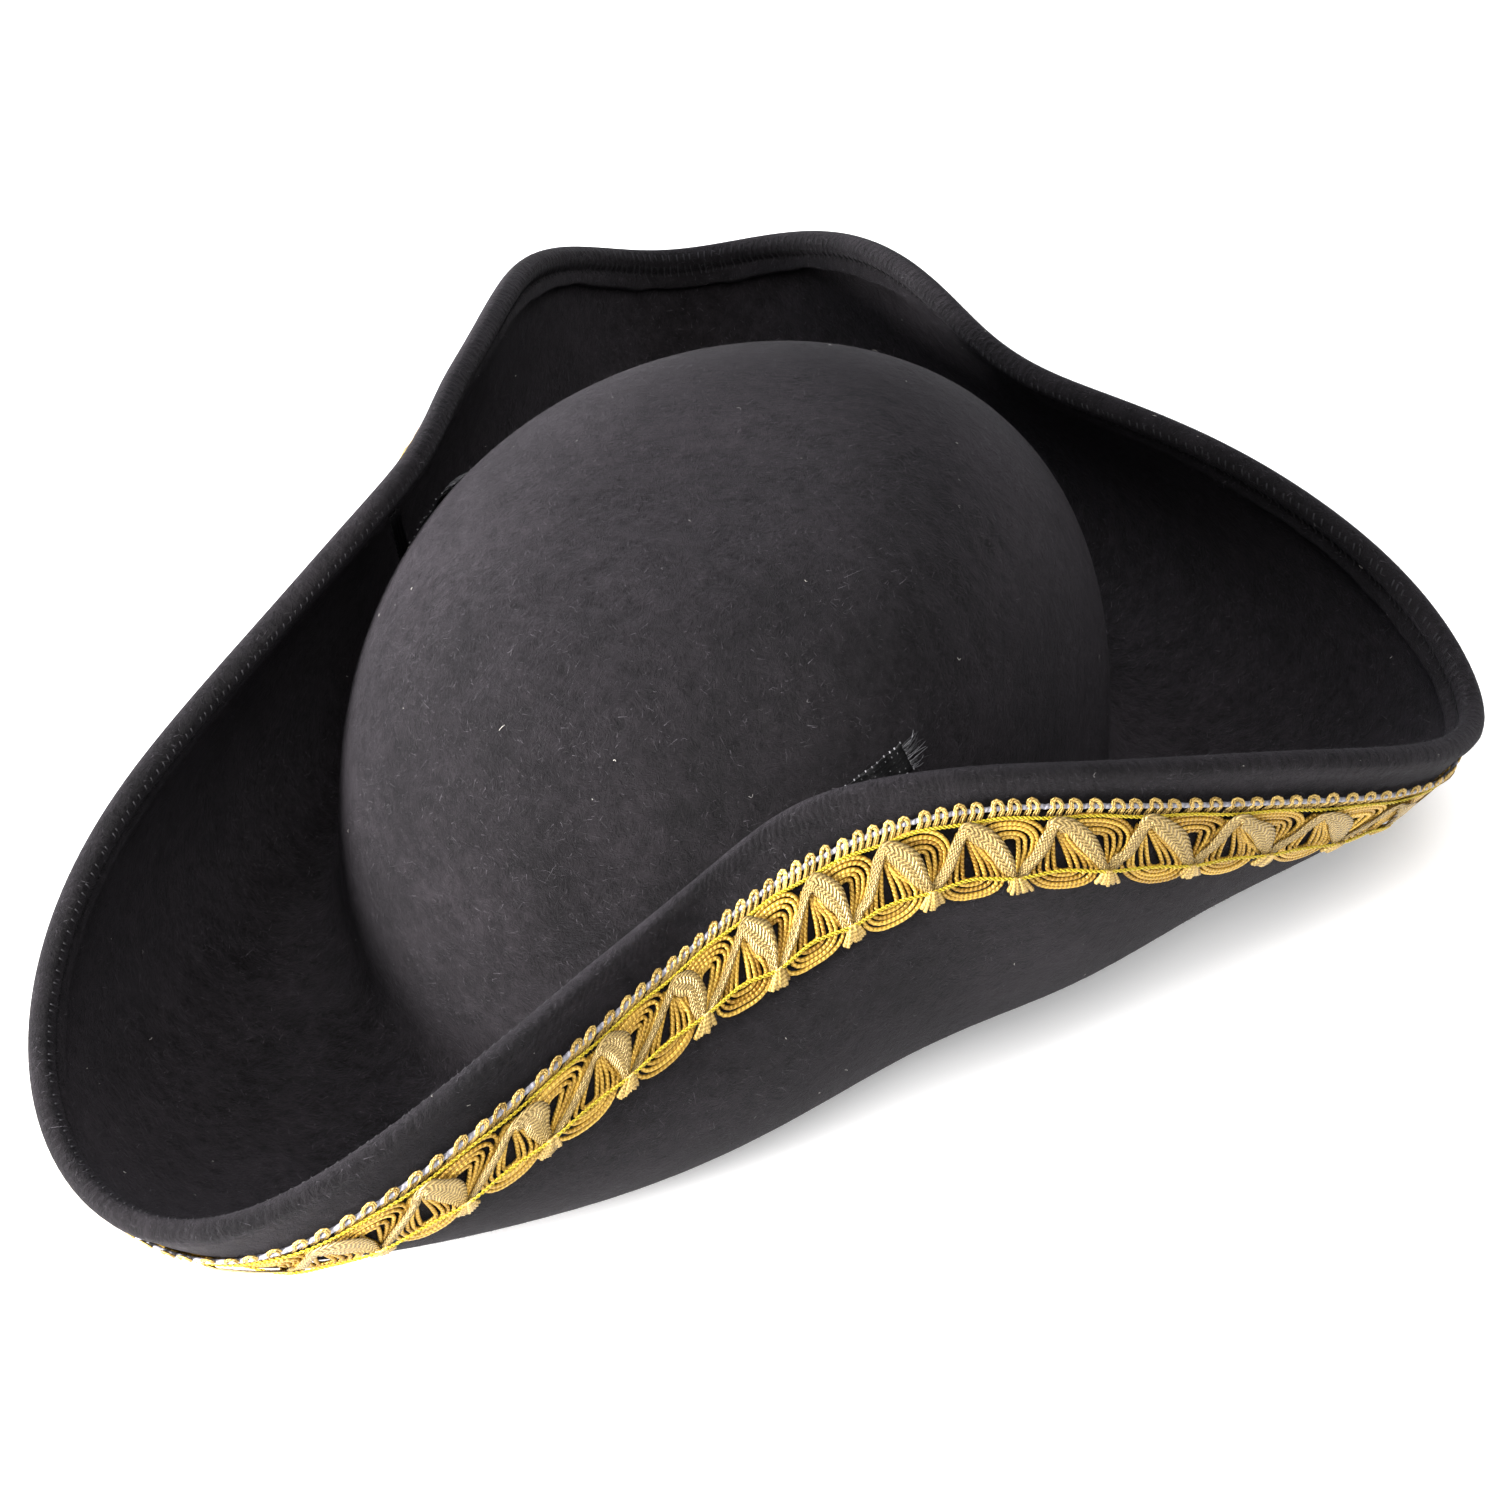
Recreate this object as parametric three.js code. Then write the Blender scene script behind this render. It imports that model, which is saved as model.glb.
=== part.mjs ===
// Tricorn hat: one blocked felt cap with its brim cocked up into three corners, a pierced gimp
// braid sewn round the outside just below the rim, and two ribbon tacks that tie flaps to the crown.
// Millimetres, +Z up. The front corner points to -Y and the wearer's left is +X. The origin is on
// the surface that the hat rests on, under the middle of its outline.
import * as THREE from 'three';

// Driving dimensions of the felt
const CROWN_LENGTH = 205; // outside, front to back at the foot
const CROWN_WIDTH = 167;
const CROWN_HEIGHT = 113; // from the crown's foot to its top
const CROWN_SQUARENESS = 2.9; // exponent of the crown's side profile, 2 is an ellipse
const BRIM_WIDTH = 104; // along the felt, from the crown's foot to the rim
const FELT_WALL = 2.5;
const CREASE_SIZE = 9; // soft fillet between crown and brim
const RIM_RADIUS = 3; // the rim's rolled fold
const HEM_WIDTH = 8; // turned-over felt behind the roll, on the upper face
const HEM_THICKNESS = 2;
const REST_FLATTENING = 1.6; // how far the felt is pressed flat where it rests

// Driving dimensions of the braid
const BRAID_DROP = 6.5; // from the rim to the braid's upper edge
const BRAID_WIDTH = 23.5;
const BRAID_HEADING = 6; // solid strip along the upper edge
const BRAID_FOOTING = 6; // fans along the lower edge, at their deepest
const BRAID_SCALLOP = 2.5; // how much the lower edge draws in at each fold of the tape
const BRAID_THICKNESS = 1.8;
const BRAID_PITCH = 21.5; // length of one zigzag of the tape, before it is fitted to the rim
const TAPE_WIDTH = 5.5;

// Driving dimensions of the ribbon tacks
const RIBBON_THICKNESS = 0.8;
const RIBBON_ROOT_WIDTH = 4; // gathered where it is stitched
const RIBBON_END_WIDTH = 9; // spread at the cut end

const CLEARANCE = 0.35; // between pieces that are sewn together

// The brim's sections, one every 20 degrees of azimuth round the crown: 0 is the wearer's left,
// 90 the back and 270 the front corner. foot and rim are the felt's slopes there in degrees, and
// past 90 the rim leans over the crown. width is a share of BRIM_WIDTH, and curl says where the
// slope turns: under 1 near the rim, over 1 near the crown. drop is a share of BRAID_DROP, and
// spread is the share of BRAID_PITCH that the braid's zigzags are drawn out to. The rows pull a
// smooth curve towards them, as the points of a B-spline do.
const SECTIONS = [
  { foot: 20, rim: 114, width: 0.98, curl: 1.5, drop: 0.65, spread: 1.05 },
  { foot: 5, rim: 91, width: 0.91, curl: 1.5, drop: 1.15, spread: 1.25 },
  { foot: -10, rim: 58, width: 1.02, curl: 0.5, drop: 1.2, spread: 1.2 },
  { foot: -40, rim: 106, width: 1.00, curl: 1.5, drop: 1, spread: 1 },
  { foot: -30, rim: 134, width: 1.04, curl: 2, drop: 1, spread: 1 },
  { foot: -30, rim: 138, width: 1.03, curl: 2, drop: 1, spread: 1 },
  { foot: -35, rim: 106, width: 1.04, curl: 1.5, drop: 1, spread: 1 },
  { foot: -20, rim: 61, width: 0.98, curl: 0.5, drop: 1, spread: 1 },
  { foot: 5, rim: 113, width: 0.93, curl: 1.5, drop: 1, spread: 1 },
  { foot: 25, rim: 129, width: 0.97, curl: 1.5, drop: 1, spread: 1 },
  { foot: 50, rim: 127, width: 0.95, curl: 1.5, drop: 1, spread: 1 },
  { foot: 15, rim: 132, width: 1.01, curl: 2, drop: 1, spread: 1 },
  { foot: -35, rim: 131, width: 0.98, curl: 1.5, drop: 1, spread: 1 },
  { foot: -15, rim: 71, width: 1.01, curl: 0.5, drop: 1, spread: 1 },
  { foot: -15, rim: 75, width: 1.04, curl: 0.5, drop: 1.45, spread: 1.2 },
  { foot: -35, rim: 158, width: 1.04, curl: 1.5, drop: 1.55, spread: 1.05 },
  { foot: 15, rim: 137, width: 0.99, curl: 2, drop: 1.6, spread: 0.78 },
  { foot: 55, rim: 110, width: 0.92, curl: 1.5, drop: 0.45, spread: 0.85 },
];

// The ribbon tacks. Each is stitched to the hem at flapAzimuth, crosses to the crown at
// startAzimuth and lies on it up to endAzimuth. Heights are shares of CROWN_HEIGHT.
const TACKS = [
  {
    name: 'tack_ribbon_left', flapAzimuth: 329,
    startAzimuth: 332, startHeight: 0.72, endAzimuth: 349, endHeight: 0.715,
  },
  {
    name: 'tack_ribbon_right', flapAzimuth: 209,
    startAzimuth: 205, startHeight: 0.57, endAzimuth: 197, endHeight: 0.71,
  },
];

// Mesh fineness
const CROWN_ROWS = [78, 65, 52, 40, 28, 16, 7]; // degrees up the crown's profile, top first
const CREASE_ROWS = [0, 0.35, 0.7, 1];
const OPEN_BRIM_ROWS = 5; // between the crease and the braid
const ROLL_ROWS = [60, 0, -60]; // degrees round the rim's roll
const PROFILE_STEPS = 24; // steps that the brim's slope is summed over
const OUTLINE_SAMPLES = 720; // places where the rim's length is measured
const RIBBON_STEPS = 5;

const felt = new THREE.MeshStandardMaterial({ color: 0x15141a, roughness: 0.95, metalness: 0 });
const gold = new THREE.MeshStandardMaterial({ color: 0xc9a03a, roughness: 0.42, metalness: 0.55 });
const nylon = new THREE.MeshStandardMaterial({ color: 0x0b0b0d, roughness: 0.45, metalness: 0 });

const radians = THREE.MathUtils.degToRad;

// A column of SECTIONS at an azimuth in degrees, by a uniform cubic B-spline round the ring
function sectionValue(column, azimuth) {
  const count = SECTIONS.length;
  const place = THREE.MathUtils.euclideanModulo(azimuth, 360) / 360 * count;
  const row = Math.floor(place);
  const t = place - row;
  const weights = [
    (1 - t) ** 3 / 6,
    (3 * t ** 3 - 6 * t ** 2 + 4) / 6,
    (-3 * t ** 3 + 3 * t ** 2 + 3 * t + 1) / 6,
    t ** 3 / 6,
  ];
  return weights.reduce((sum, weight, k) => {
    return sum + weight * SECTIONS[(row - 1 + k + count) % count][column];
  }, 0);
}

// Distance of the crown's foot from the crown's axis
function footRadius(azimuth) {
  const across = CROWN_WIDTH / 2;
  const along = CROWN_LENGTH / 2;
  const angle = radians(azimuth);
  return across * along / Math.hypot(along * Math.cos(angle), across * Math.sin(angle));
}

function polar(radius, azimuth, height) {
  const angle = radians(azimuth);
  return new THREE.Vector3(radius * Math.cos(angle), radius * Math.sin(angle), height);
}

// Outer face of the crown's felt, at an angle in degrees down from the top
function crownPoint(azimuth, down) {
  const power = 2 / CROWN_SQUARENESS;
  const angle = radians(90 - down);
  const radius = footRadius(azimuth) * Math.cos(angle) ** power;
  return polar(radius, azimuth, CROWN_HEIGHT * Math.sin(angle) ** power);
}

// The angle down from the top at which the crown is at a height
function crownAngle(height) {
  return 90 - THREE.MathUtils.radToDeg(Math.asin((height / CROWN_HEIGHT) ** (CROWN_SQUARENESS / 2)));
}

function brimWidth(azimuth) {
  return BRIM_WIDTH * sectionValue('width', azimuth);
}

// Distance from the rim to a line of the braid, itself measured from the braid's upper edge
function braidLine(azimuth, across) {
  return BRAID_DROP * sectionValue('drop', azimuth) + across;
}

// Outer (lower) face of the brim's felt, at a share of its width from the crown's foot
function brimPoint(azimuth, share) {
  const foot = radians(sectionValue('foot', azimuth));
  const rim = radians(sectionValue('rim', azimuth));
  const curl = sectionValue('curl', azimuth);
  const step = share / PROFILE_STEPS;
  let radius = 0;
  let height = 0;
  for (let k = 0; k < PROFILE_STEPS; k += 1) {
    const slope = foot + (rim - foot) * (1 - (1 - (k + 0.5) * step) ** curl);
    radius += Math.cos(slope) * step;
    height += Math.sin(slope) * step;
  }
  const width = brimWidth(azimuth);
  return polar(footRadius(azimuth) + radius * width, azimuth, height * width);
}

// The felt in the crease, from the crown's outer face at 0 to the brim's outer face at 1
function creasePoint(azimuth, share) {
  const above = crownPoint(azimuth, crownAngle(CREASE_SIZE));
  const corner = polar(footRadius(azimuth), azimuth, 0);
  const beyond = brimPoint(azimuth, CREASE_SIZE / brimWidth(azimuth));
  const curve = new THREE.QuadraticBezierCurve3(above, corner, beyond);
  return curve.getPoint(share);
}

// The felt's own directions at a place: out along the brim, and square to its upper face
function feltDirections(surface, azimuth, value) {
  const turn = 0.2;
  const nudge = 0.002 * (surface === crownPoint ? 90 : 1);
  const before = surface(azimuth, Math.max(value - nudge, 0));
  const after = surface(azimuth, surface === brimPoint ? Math.min(value + nudge, 1) : value + nudge);
  const outward = after.sub(before).normalize();
  const round = surface(azimuth + turn, value).sub(surface(azimuth - turn, value));
  const upper = new THREE.Vector3().crossVectors(outward, round).normalize();
  return { outward, upper };
}

// A point at a distance from one of these surfaces, above it or (negative) below it
function offsetPoint(surface, azimuth, value, distance) {
  const { upper } = feltDirections(surface, azimuth, value);
  return surface(azimuth, value).addScaledVector(upper, distance);
}

// A point by its distance from the rim, measured along the felt
function pointFromRim(azimuth, fromRim, distance) {
  return offsetPoint(brimPoint, azimuth, 1 - fromRim / brimWidth(azimuth), distance);
}

// Azimuths of the mesh's columns: two for each zigzag of the braid
function columnAzimuths() {
  const counted = [0];
  let before = pointFromRim(0, braidLine(0, BRAID_WIDTH / 2), 0);
  for (let k = 1; k <= OUTLINE_SAMPLES; k += 1) {
    const azimuth = 360 * k / OUTLINE_SAMPLES;
    const here = pointFromRim(azimuth, braidLine(azimuth, BRAID_WIDTH / 2), 0);
    const zigzag = BRAID_PITCH * sectionValue('spread', azimuth);
    counted.push(counted[k - 1] + here.distanceTo(before) / zigzag);
    before = here;
  }
  const columns = 2 * Math.round(counted[OUTLINE_SAMPLES]);
  const azimuths = [];
  let k = 0;
  for (let column = 0; column < columns; column += 1) {
    const target = counted[OUTLINE_SAMPLES] * column / columns;
    while (counted[k + 1] < target) {
      k += 1;
    }
    const share = (target - counted[k]) / (counted[k + 1] - counted[k]);
    azimuths.push(360 * (k + share) / OUTLINE_SAMPLES);
  }
  return azimuths;
}

// One geometry from points and triangles, each written as three indices
function meshFrom(points, triangles) {
  const geometry = new THREE.BufferGeometry();
  const places = points.flatMap((point) => [point.x, point.y, point.z]);
  geometry.setAttribute('position', new THREE.Float32BufferAttribute(places, 3));
  geometry.setIndex(triangles.flat());
  geometry.computeVertexNormals();
  return geometry;
}

// Rows of the felt's skin, from the top of the crown out to the rim and back underneath. Each is a
// function of the azimuth.
function feltRows() {
  // from the braid's lower edge up to its upper edge
  const braidRows = [BRAID_WIDTH, BRAID_WIDTH - BRAID_FOOTING, BRAID_HEADING, 0];
  // the crown's felt lies inside its surface and the brim's felt on top of its own
  const face = (onCrown, onBrim) => {
    const rows = CROWN_ROWS.map((up) => {
      return (azimuth) => offsetPoint(crownPoint, azimuth, 90 - up, onCrown);
    });
    for (const share of CREASE_ROWS) {
      const offset = THREE.MathUtils.lerp(onCrown, onBrim, share);
      rows.push((azimuth) => offsetPoint(creasePoint, azimuth, share, offset));
    }
    for (let k = 1; k <= OPEN_BRIM_ROWS; k += 1) {
      const share = k / (OPEN_BRIM_ROWS + 1);
      rows.push((azimuth) => {
        const braidEnd = braidLine(azimuth, BRAID_WIDTH);
        const open = brimWidth(azimuth) - CREASE_SIZE - braidEnd;
        return pointFromRim(azimuth, braidEnd + open * (1 - share), onBrim);
      });
    }
    return rows;
  };
  const upper = face(0, FELT_WALL);
  for (const row of braidRows.slice(0, 2)) {
    upper.push((azimuth) => pointFromRim(azimuth, braidLine(azimuth, row), FELT_WALL));
  }
  const hemTop = FELT_WALL + HEM_THICKNESS;
  upper.push((azimuth) => pointFromRim(azimuth, HEM_WIDTH, FELT_WALL));
  upper.push((azimuth) => pointFromRim(azimuth, HEM_WIDTH, hemTop));
  const roll = ROLL_ROWS.map((angle) => (azimuth) => {
    const { outward, upper: square } = feltDirections(brimPoint, azimuth, 1);
    const point = brimPoint(azimuth, 1);
    point.addScaledVector(square, hemTop / 2);
    point.addScaledVector(outward, RIM_RADIUS * Math.cos(radians(angle)));
    return point.addScaledVector(square, RIM_RADIUS * Math.sin(radians(angle)));
  });
  const lower = face(-FELT_WALL, 0);
  for (const row of braidRows) {
    lower.push((azimuth) => pointFromRim(azimuth, braidLine(azimuth, row), 0));
  }
  return [...upper, ...roll, ...lower.reverse()];
}

// Splits a four-sided facet along the diagonal that lies deeper in the felt, so that nothing
// that is sewn on over the facet runs into it
function splitFacet(points, corners) {
  const [a, b, c, d] = corners.map((corner) => points[corner]);
  const first = a.clone().add(c);
  const second = b.clone().add(d);
  const out = new THREE.Vector3().crossVectors(c.clone().sub(a), d.clone().sub(b));
  const [p, q, r, t] = corners;
  return first.sub(second).dot(out) > 0 ? [[p, q, t], [q, r, t]] : [[p, q, r], [p, r, t]];
}

// The hat's felt: crown, brim and turned hem in one solid, pressed flat at floorHeight
function feltGeometry(azimuths, floorHeight) {
  const columns = azimuths.length;
  const points = [polar(0, 0, CROWN_HEIGHT)];
  const triangles = [];
  const rows = feltRows();
  rows.forEach((row, r) => {
    for (const azimuth of azimuths) {
      const point = row(azimuth);
      point.z = Math.max(point.z, floorHeight);
      points.push(point);
    }
    const here = 1 + r * columns;
    const before = here - columns;
    for (let column = 0; column < columns; column += 1) {
      const next = (column + 1) % columns;
      if (r === 0) {
        triangles.push([0, here + column, here + next]);
      } else {
        const corners = [before + column, here + column, here + next, before + next];
        triangles.push(...splitFacet(points, corners));
      }
    }
  });
  points.push(polar(0, 0, CROWN_HEIGHT - FELT_WALL));
  const last = 1 + (rows.length - 1) * columns;
  azimuths.forEach((azimuth, column) => {
    triangles.push([last + (column + 1) % columns, last + column, points.length - 1]);
  });
  return meshFrom(points, triangles);
}

// The level that the hat rests on, a little above the lowest point of the unpressed brim
function restHeight(azimuths) {
  const heights = feltRows().flatMap((row) => azimuths.map((azimuth) => row(azimuth).z));
  return Math.min(...heights) + REST_FLATTENING;
}

// The braid: a solid heading, a zigzag of flat tape and a scalloped row of fans, open between
// them. Places along it are counted in zigzags, and across it in millimetres from its upper edge.
function braidGeometry(azimuths) {
  const zigzags = azimuths.length / 2;
  const tape = TAPE_WIDTH / BRAID_PITCH / 2;
  const legTop = BRAID_HEADING;
  const legFoot = BRAID_WIDTH - BRAID_FOOTING;
  const rows = [0, legTop, legFoot, BRAID_WIDTH];
  const drawnIn = BRAID_WIDTH - BRAID_SCALLOP;
  const fanSide = BRAID_WIDTH - BRAID_SCALLOP / 4;
  const places = {
    topFold: [0, 0], topMiddle: [0.5, 0],
    headingFold: [0, legTop], peakBefore: [0.5 - tape, legTop], peak: [0.5, legTop],
    peakAfter: [0.5 + tape, legTop],
    fold: [0, legFoot], foldAfter: [tape, legFoot], footingMiddle: [0.5, legFoot],
    foldBefore: [1 - tape, legFoot],
    edgeFold: [0, drawnIn], edgeBefore: [0.25, fanSide],
    edgeMiddle: [0.5, BRAID_WIDTH], edgeAfter: [0.75, fanSide],
  };
  const names = Object.keys(places);
  // Triangles as seen from the felt. A name that starts with next is the same place on the
  // following zigzag.
  const faces = [
    ['topFold', 'headingFold', 'peakBefore'], ['topFold', 'peakBefore', 'topMiddle'],
    ['topMiddle', 'peakBefore', 'peak'], ['topMiddle', 'peak', 'peakAfter'],
    ['topMiddle', 'peakAfter', 'next topFold'],
    ['next topFold', 'peakAfter', 'next headingFold'],
    ['fold', 'foldAfter', 'peak'], ['fold', 'peak', 'peakBefore'],
    ['foldBefore', 'next fold', 'peakAfter'], ['foldBefore', 'peakAfter', 'peak'],
    ['fold', 'edgeFold', 'edgeBefore'], ['fold', 'edgeBefore', 'foldAfter'],
    ['foldAfter', 'edgeBefore', 'edgeMiddle'], ['foldAfter', 'edgeMiddle', 'footingMiddle'],
    ['footingMiddle', 'edgeMiddle', 'foldBefore'],
    ['foldBefore', 'edgeMiddle', 'edgeAfter'], ['foldBefore', 'edgeAfter', 'next fold'],
    ['next fold', 'edgeAfter', 'next edgeFold'],
  ];
  // the braid lies flat on the facets of the felt, so its points are worked out between their corners
  const lay = (offset) => {
    const corners = rows.map((row) => {
      return azimuths.map((azimuth) => pointFromRim(azimuth, braidLine(azimuth, row), offset));
    });
    return (along, across) => {
      const left = Math.floor(along * 2 + 1e-9);
      const shareAlong = along * 2 - left;
      const upperRow = across <= legTop ? 0 : across <= legFoot ? 1 : 2;
      const shareAcross = (across - rows[upperRow]) / (rows[upperRow + 1] - rows[upperRow]);
      const at = (row, column) => corners[row][column % azimuths.length];
      const first = at(upperRow, left).clone().lerp(at(upperRow + 1, left), shareAcross);
      const second = at(upperRow, left + 1).clone().lerp(at(upperRow + 1, left + 1), shareAcross);
      return first.lerp(second, shareAlong);
    };
  };
  const inside = lay(-CLEARANCE);
  const outside = lay(-CLEARANCE - BRAID_THICKNESS);
  const points = [];
  for (const place of [inside, outside]) {
    for (let zigzag = 0; zigzag < zigzags; zigzag += 1) {
      for (const name of names) {
        points.push(place(zigzag + places[name][0], places[name][1]));
      }
    }
  }
  const layer = zigzags * names.length;
  const index = (zigzag, name) => {
    const next = name.startsWith('next ');
    const own = next ? name.slice('next '.length) : name;
    return ((zigzag + (next ? 1 : 0)) % zigzags) * names.length + names.indexOf(own);
  };
  const triangles = [];
  const edges = new Map();
  for (let zigzag = 0; zigzag < zigzags; zigzag += 1) {
    for (const face of faces) {
      const [a, b, c] = face.map((name) => index(zigzag, name));
      triangles.push([c, b, a], [a + layer, b + layer, c + layer]);
      for (const [from, to] of [[a, b], [b, c], [c, a]]) {
        if (!edges.delete(`${to} ${from}`)) edges.set(`${from} ${to}`, [from, to]);
      }
    }
  }
  for (const [from, to] of edges.values()) {
    triangles.push([from, to, to + layer], [from, to + layer, from + layer]);
  }
  return meshFrom(points, triangles);
}

// A ribbon tack: a flat strip with a gathered root at the hem and a spread end on the crown
function ribbonGeometry(tack) {
  const clear = CLEARANCE + RIBBON_THICKNESS / 2;
  const path = [];
  const square = [];
  path.push(pointFromRim(tack.flapAzimuth, HEM_WIDTH / 2, FELT_WALL + HEM_THICKNESS + clear));
  square.push(feltDirections(brimPoint, tack.flapAzimuth, 1).upper.negate());
  for (let k = 0; k <= RIBBON_STEPS; k += 1) {
    const share = k / RIBBON_STEPS;
    const azimuth = THREE.MathUtils.lerp(tack.startAzimuth, tack.endAzimuth, share);
    const height = CROWN_HEIGHT * THREE.MathUtils.lerp(tack.startHeight, tack.endHeight, share);
    path.push(offsetPoint(crownPoint, azimuth, crownAngle(height), clear));
    square.push(feltDirections(crownPoint, azimuth, crownAngle(height)).upper);
  }
  const points = [];
  const triangles = [];
  path.forEach((point, k) => {
    const before = path[Math.max(k - 1, 0)];
    const after = path[Math.min(k + 1, path.length - 1)];
    const along = after.clone().sub(before).normalize();
    const across = new THREE.Vector3().crossVectors(square[k], along).normalize();
    const out = new THREE.Vector3().crossVectors(along, across).normalize();
    const width = THREE.MathUtils.lerp(RIBBON_ROOT_WIDTH, RIBBON_END_WIDTH, k / (path.length - 1));
    for (const [side, level] of [[-1, -1], [1, -1], [1, 1], [-1, 1]]) {
      const corner = point.clone().addScaledVector(across, side * width / 2);
      points.push(corner.addScaledVector(out, level * RIBBON_THICKNESS / 2));
    }
    if (k > 0) {
      const here = 4 * k;
      for (let side = 0; side < 4; side += 1) {
        const next = (side + 1) % 4;
        triangles.push([here - 4 + side, here - 4 + next, here + next]);
        triangles.push([here - 4 + side, here + next, here + side]);
      }
    }
  });
  const end = points.length - 4;
  triangles.push([0, 2, 1], [0, 3, 2], [end, end + 1, end + 2], [end, end + 2, end + 3]);
  return meshFrom(points, triangles);
}

function namedMesh(name, geometry, material) {
  const mesh = new THREE.Mesh(geometry, material);
  mesh.name = name;
  return mesh;
}

const azimuths = columnAzimuths();
const floorHeight = restHeight(azimuths);
const hat = new THREE.Group();
hat.add(namedMesh('felt_body', feltGeometry(azimuths, floorHeight), felt));
hat.add(namedMesh('gold_braid', braidGeometry(azimuths), gold));
for (const tack of TACKS) {
  hat.add(namedMesh(tack.name, ribbonGeometry(tack), nylon));
}

// The origin goes under the middle of the outline, on the surface
const box = new THREE.Box3().setFromObject(hat);
const middle = box.getCenter(new THREE.Vector3());
hat.position.set(-middle.x, -middle.y, -box.min.z);

export default hat;
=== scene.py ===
"""A black felt tricorn hat edged with gold gimp braid, on a pale studio floor.

All is in metres. The hat's shape is worked out in a frame of its own, with its origin at the foot
of the crown's axis, and TO_SOLIDS moves it onto the solids. Azimuths on the hat are in degrees about
the crown's axis: 0 is the wearer's left, 90 the back, 270 the front corner.
"""

import math

import bpy
import numpy as np
from mathutils import Matrix, Vector


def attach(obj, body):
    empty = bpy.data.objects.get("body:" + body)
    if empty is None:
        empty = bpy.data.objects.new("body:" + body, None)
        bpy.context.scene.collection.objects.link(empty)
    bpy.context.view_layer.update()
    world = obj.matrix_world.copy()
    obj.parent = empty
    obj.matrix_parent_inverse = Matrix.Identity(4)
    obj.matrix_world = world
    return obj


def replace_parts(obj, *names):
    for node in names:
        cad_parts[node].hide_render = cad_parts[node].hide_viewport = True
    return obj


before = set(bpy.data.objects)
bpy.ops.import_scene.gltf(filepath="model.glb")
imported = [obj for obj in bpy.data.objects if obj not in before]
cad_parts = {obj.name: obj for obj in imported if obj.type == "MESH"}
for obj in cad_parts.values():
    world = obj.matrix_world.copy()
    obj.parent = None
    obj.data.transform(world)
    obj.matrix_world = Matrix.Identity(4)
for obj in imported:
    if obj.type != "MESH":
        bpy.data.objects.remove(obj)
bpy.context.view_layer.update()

MM = 0.001
RNG = np.random.default_rng(7)

# The felt's dimensions, as in the solids
CROWN_LENGTH = 205 * MM
CROWN_WIDTH = 167 * MM
CROWN_HEIGHT = 113 * MM
CROWN_SQUARENESS = 2.9
BRIM_WIDTH = 104 * MM
FELT_WALL = 2.5 * MM
CREASE_SIZE = 9 * MM
RIM_RADIUS = 3 * MM
HEM_WIDTH = 8 * MM
HEM_THICKNESS = 2 * MM

# The braid's dimensions, as in the solids
BRAID_DROP = 6.5 * MM
BRAID_WIDTH = 23.5 * MM
BRAID_PITCH = 21.5 * MM

# The brim's sections, one every 20 degrees of azimuth: the felt's slopes at the crown's foot and at
# the rim, the share of BRIM_WIDTH, where the slope turns, the share of BRAID_DROP, the share of
# BRAID_PITCH that the zigzags are drawn out to, and the degrees that the edge leans out again at the
# rim, which the solids don't have
COLUMNS = ("foot", "rim", "width", "curl", "drop", "spread", "lean")
SECTIONS = np.array((
    (20, 114, 0.98, 1.5, 0.65, 1.05, 0),
    (5, 91, 0.91, 1.5, 1.15, 1.25, 1),
    (-10, 58, 1.02, 0.5, 1.2, 1.2, 9),
    (-40, 106, 1.00, 1.5, 1, 1, 9),
    (-30, 134, 1.04, 2, 1, 1, 13),
    (-30, 138, 1.03, 2, 1, 1, 17),
    (-35, 106, 1.04, 1.5, 1, 1, 10),
    (-20, 61, 0.98, 0.5, 1, 1, 8),
    (5, 113, 0.93, 1.5, 1, 1, 13),
    (25, 129, 0.97, 1.5, 1, 1, 23),
    (50, 127, 0.95, 1.5, 1, 1, 20),
    (15, 132, 1.01, 2, 1, 1, 19),
    (-35, 131, 0.98, 1.5, 1, 1, 12),
    (-15, 71, 1.01, 0.5, 1, 1, 9),
    (-15, 75, 1.04, 0.5, 1.45, 1.2, 4),
    (-35, 158, 1.04, 1.5, 1.55, 1.05, 0),
    (15, 137, 0.99, 2, 1.6, 0.78, 0),
    (55, 110, 0.92, 1.5, 0.45, 0.85, 0),
))
PROFILE_STEPS = 24
# the share of the brim's width from which its edge leans
LEAN_FROM = 0.78
# how much lower the braid lies on the felt for each degree of lean
LEAN_FLATTENS = 0.022
OUTLINE_SAMPLES = 720
# steps over which a surface's directions are measured: degrees, and shares of its width
NUDGE_DEGREES = 0.2
NUDGE_SHARE = 0.002

# The highest vertex of the felt's solid is on the crown's axis, at its full height
felt_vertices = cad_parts["felt_body"].data.vertices
CROWN_TOP = max((v.co for v in felt_vertices), key=lambda co: co.z)
TO_SOLIDS = np.array(CROWN_TOP) - np.array((0, 0, CROWN_HEIGHT))


# The camera

CAMERA_AZIMUTH = 42.32
CAMERA_ELEVATION = 44.47
CAMERA_ROLL = 0.35
CAMERA_DISTANCE = 1.027
CAMERA_LENS = 104.5
CAMERA_SENSOR = 36
CAMERA_CLIP = 50 * MM
AIM_HEIGHT = 50 * MM
AIM_ACROSS = 4.84 * MM
AIM_DOWN = 18.05 * MM


def direction_to(azimuth, elevation):
    """Unit vector from the hat to a camera or lamp, whose azimuth is 0 off the hat's front corner."""
    turn, lift = math.radians(azimuth), math.radians(elevation)
    return Vector((math.sin(turn) * math.cos(lift), -math.cos(turn) * math.cos(lift), math.sin(lift)))


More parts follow.
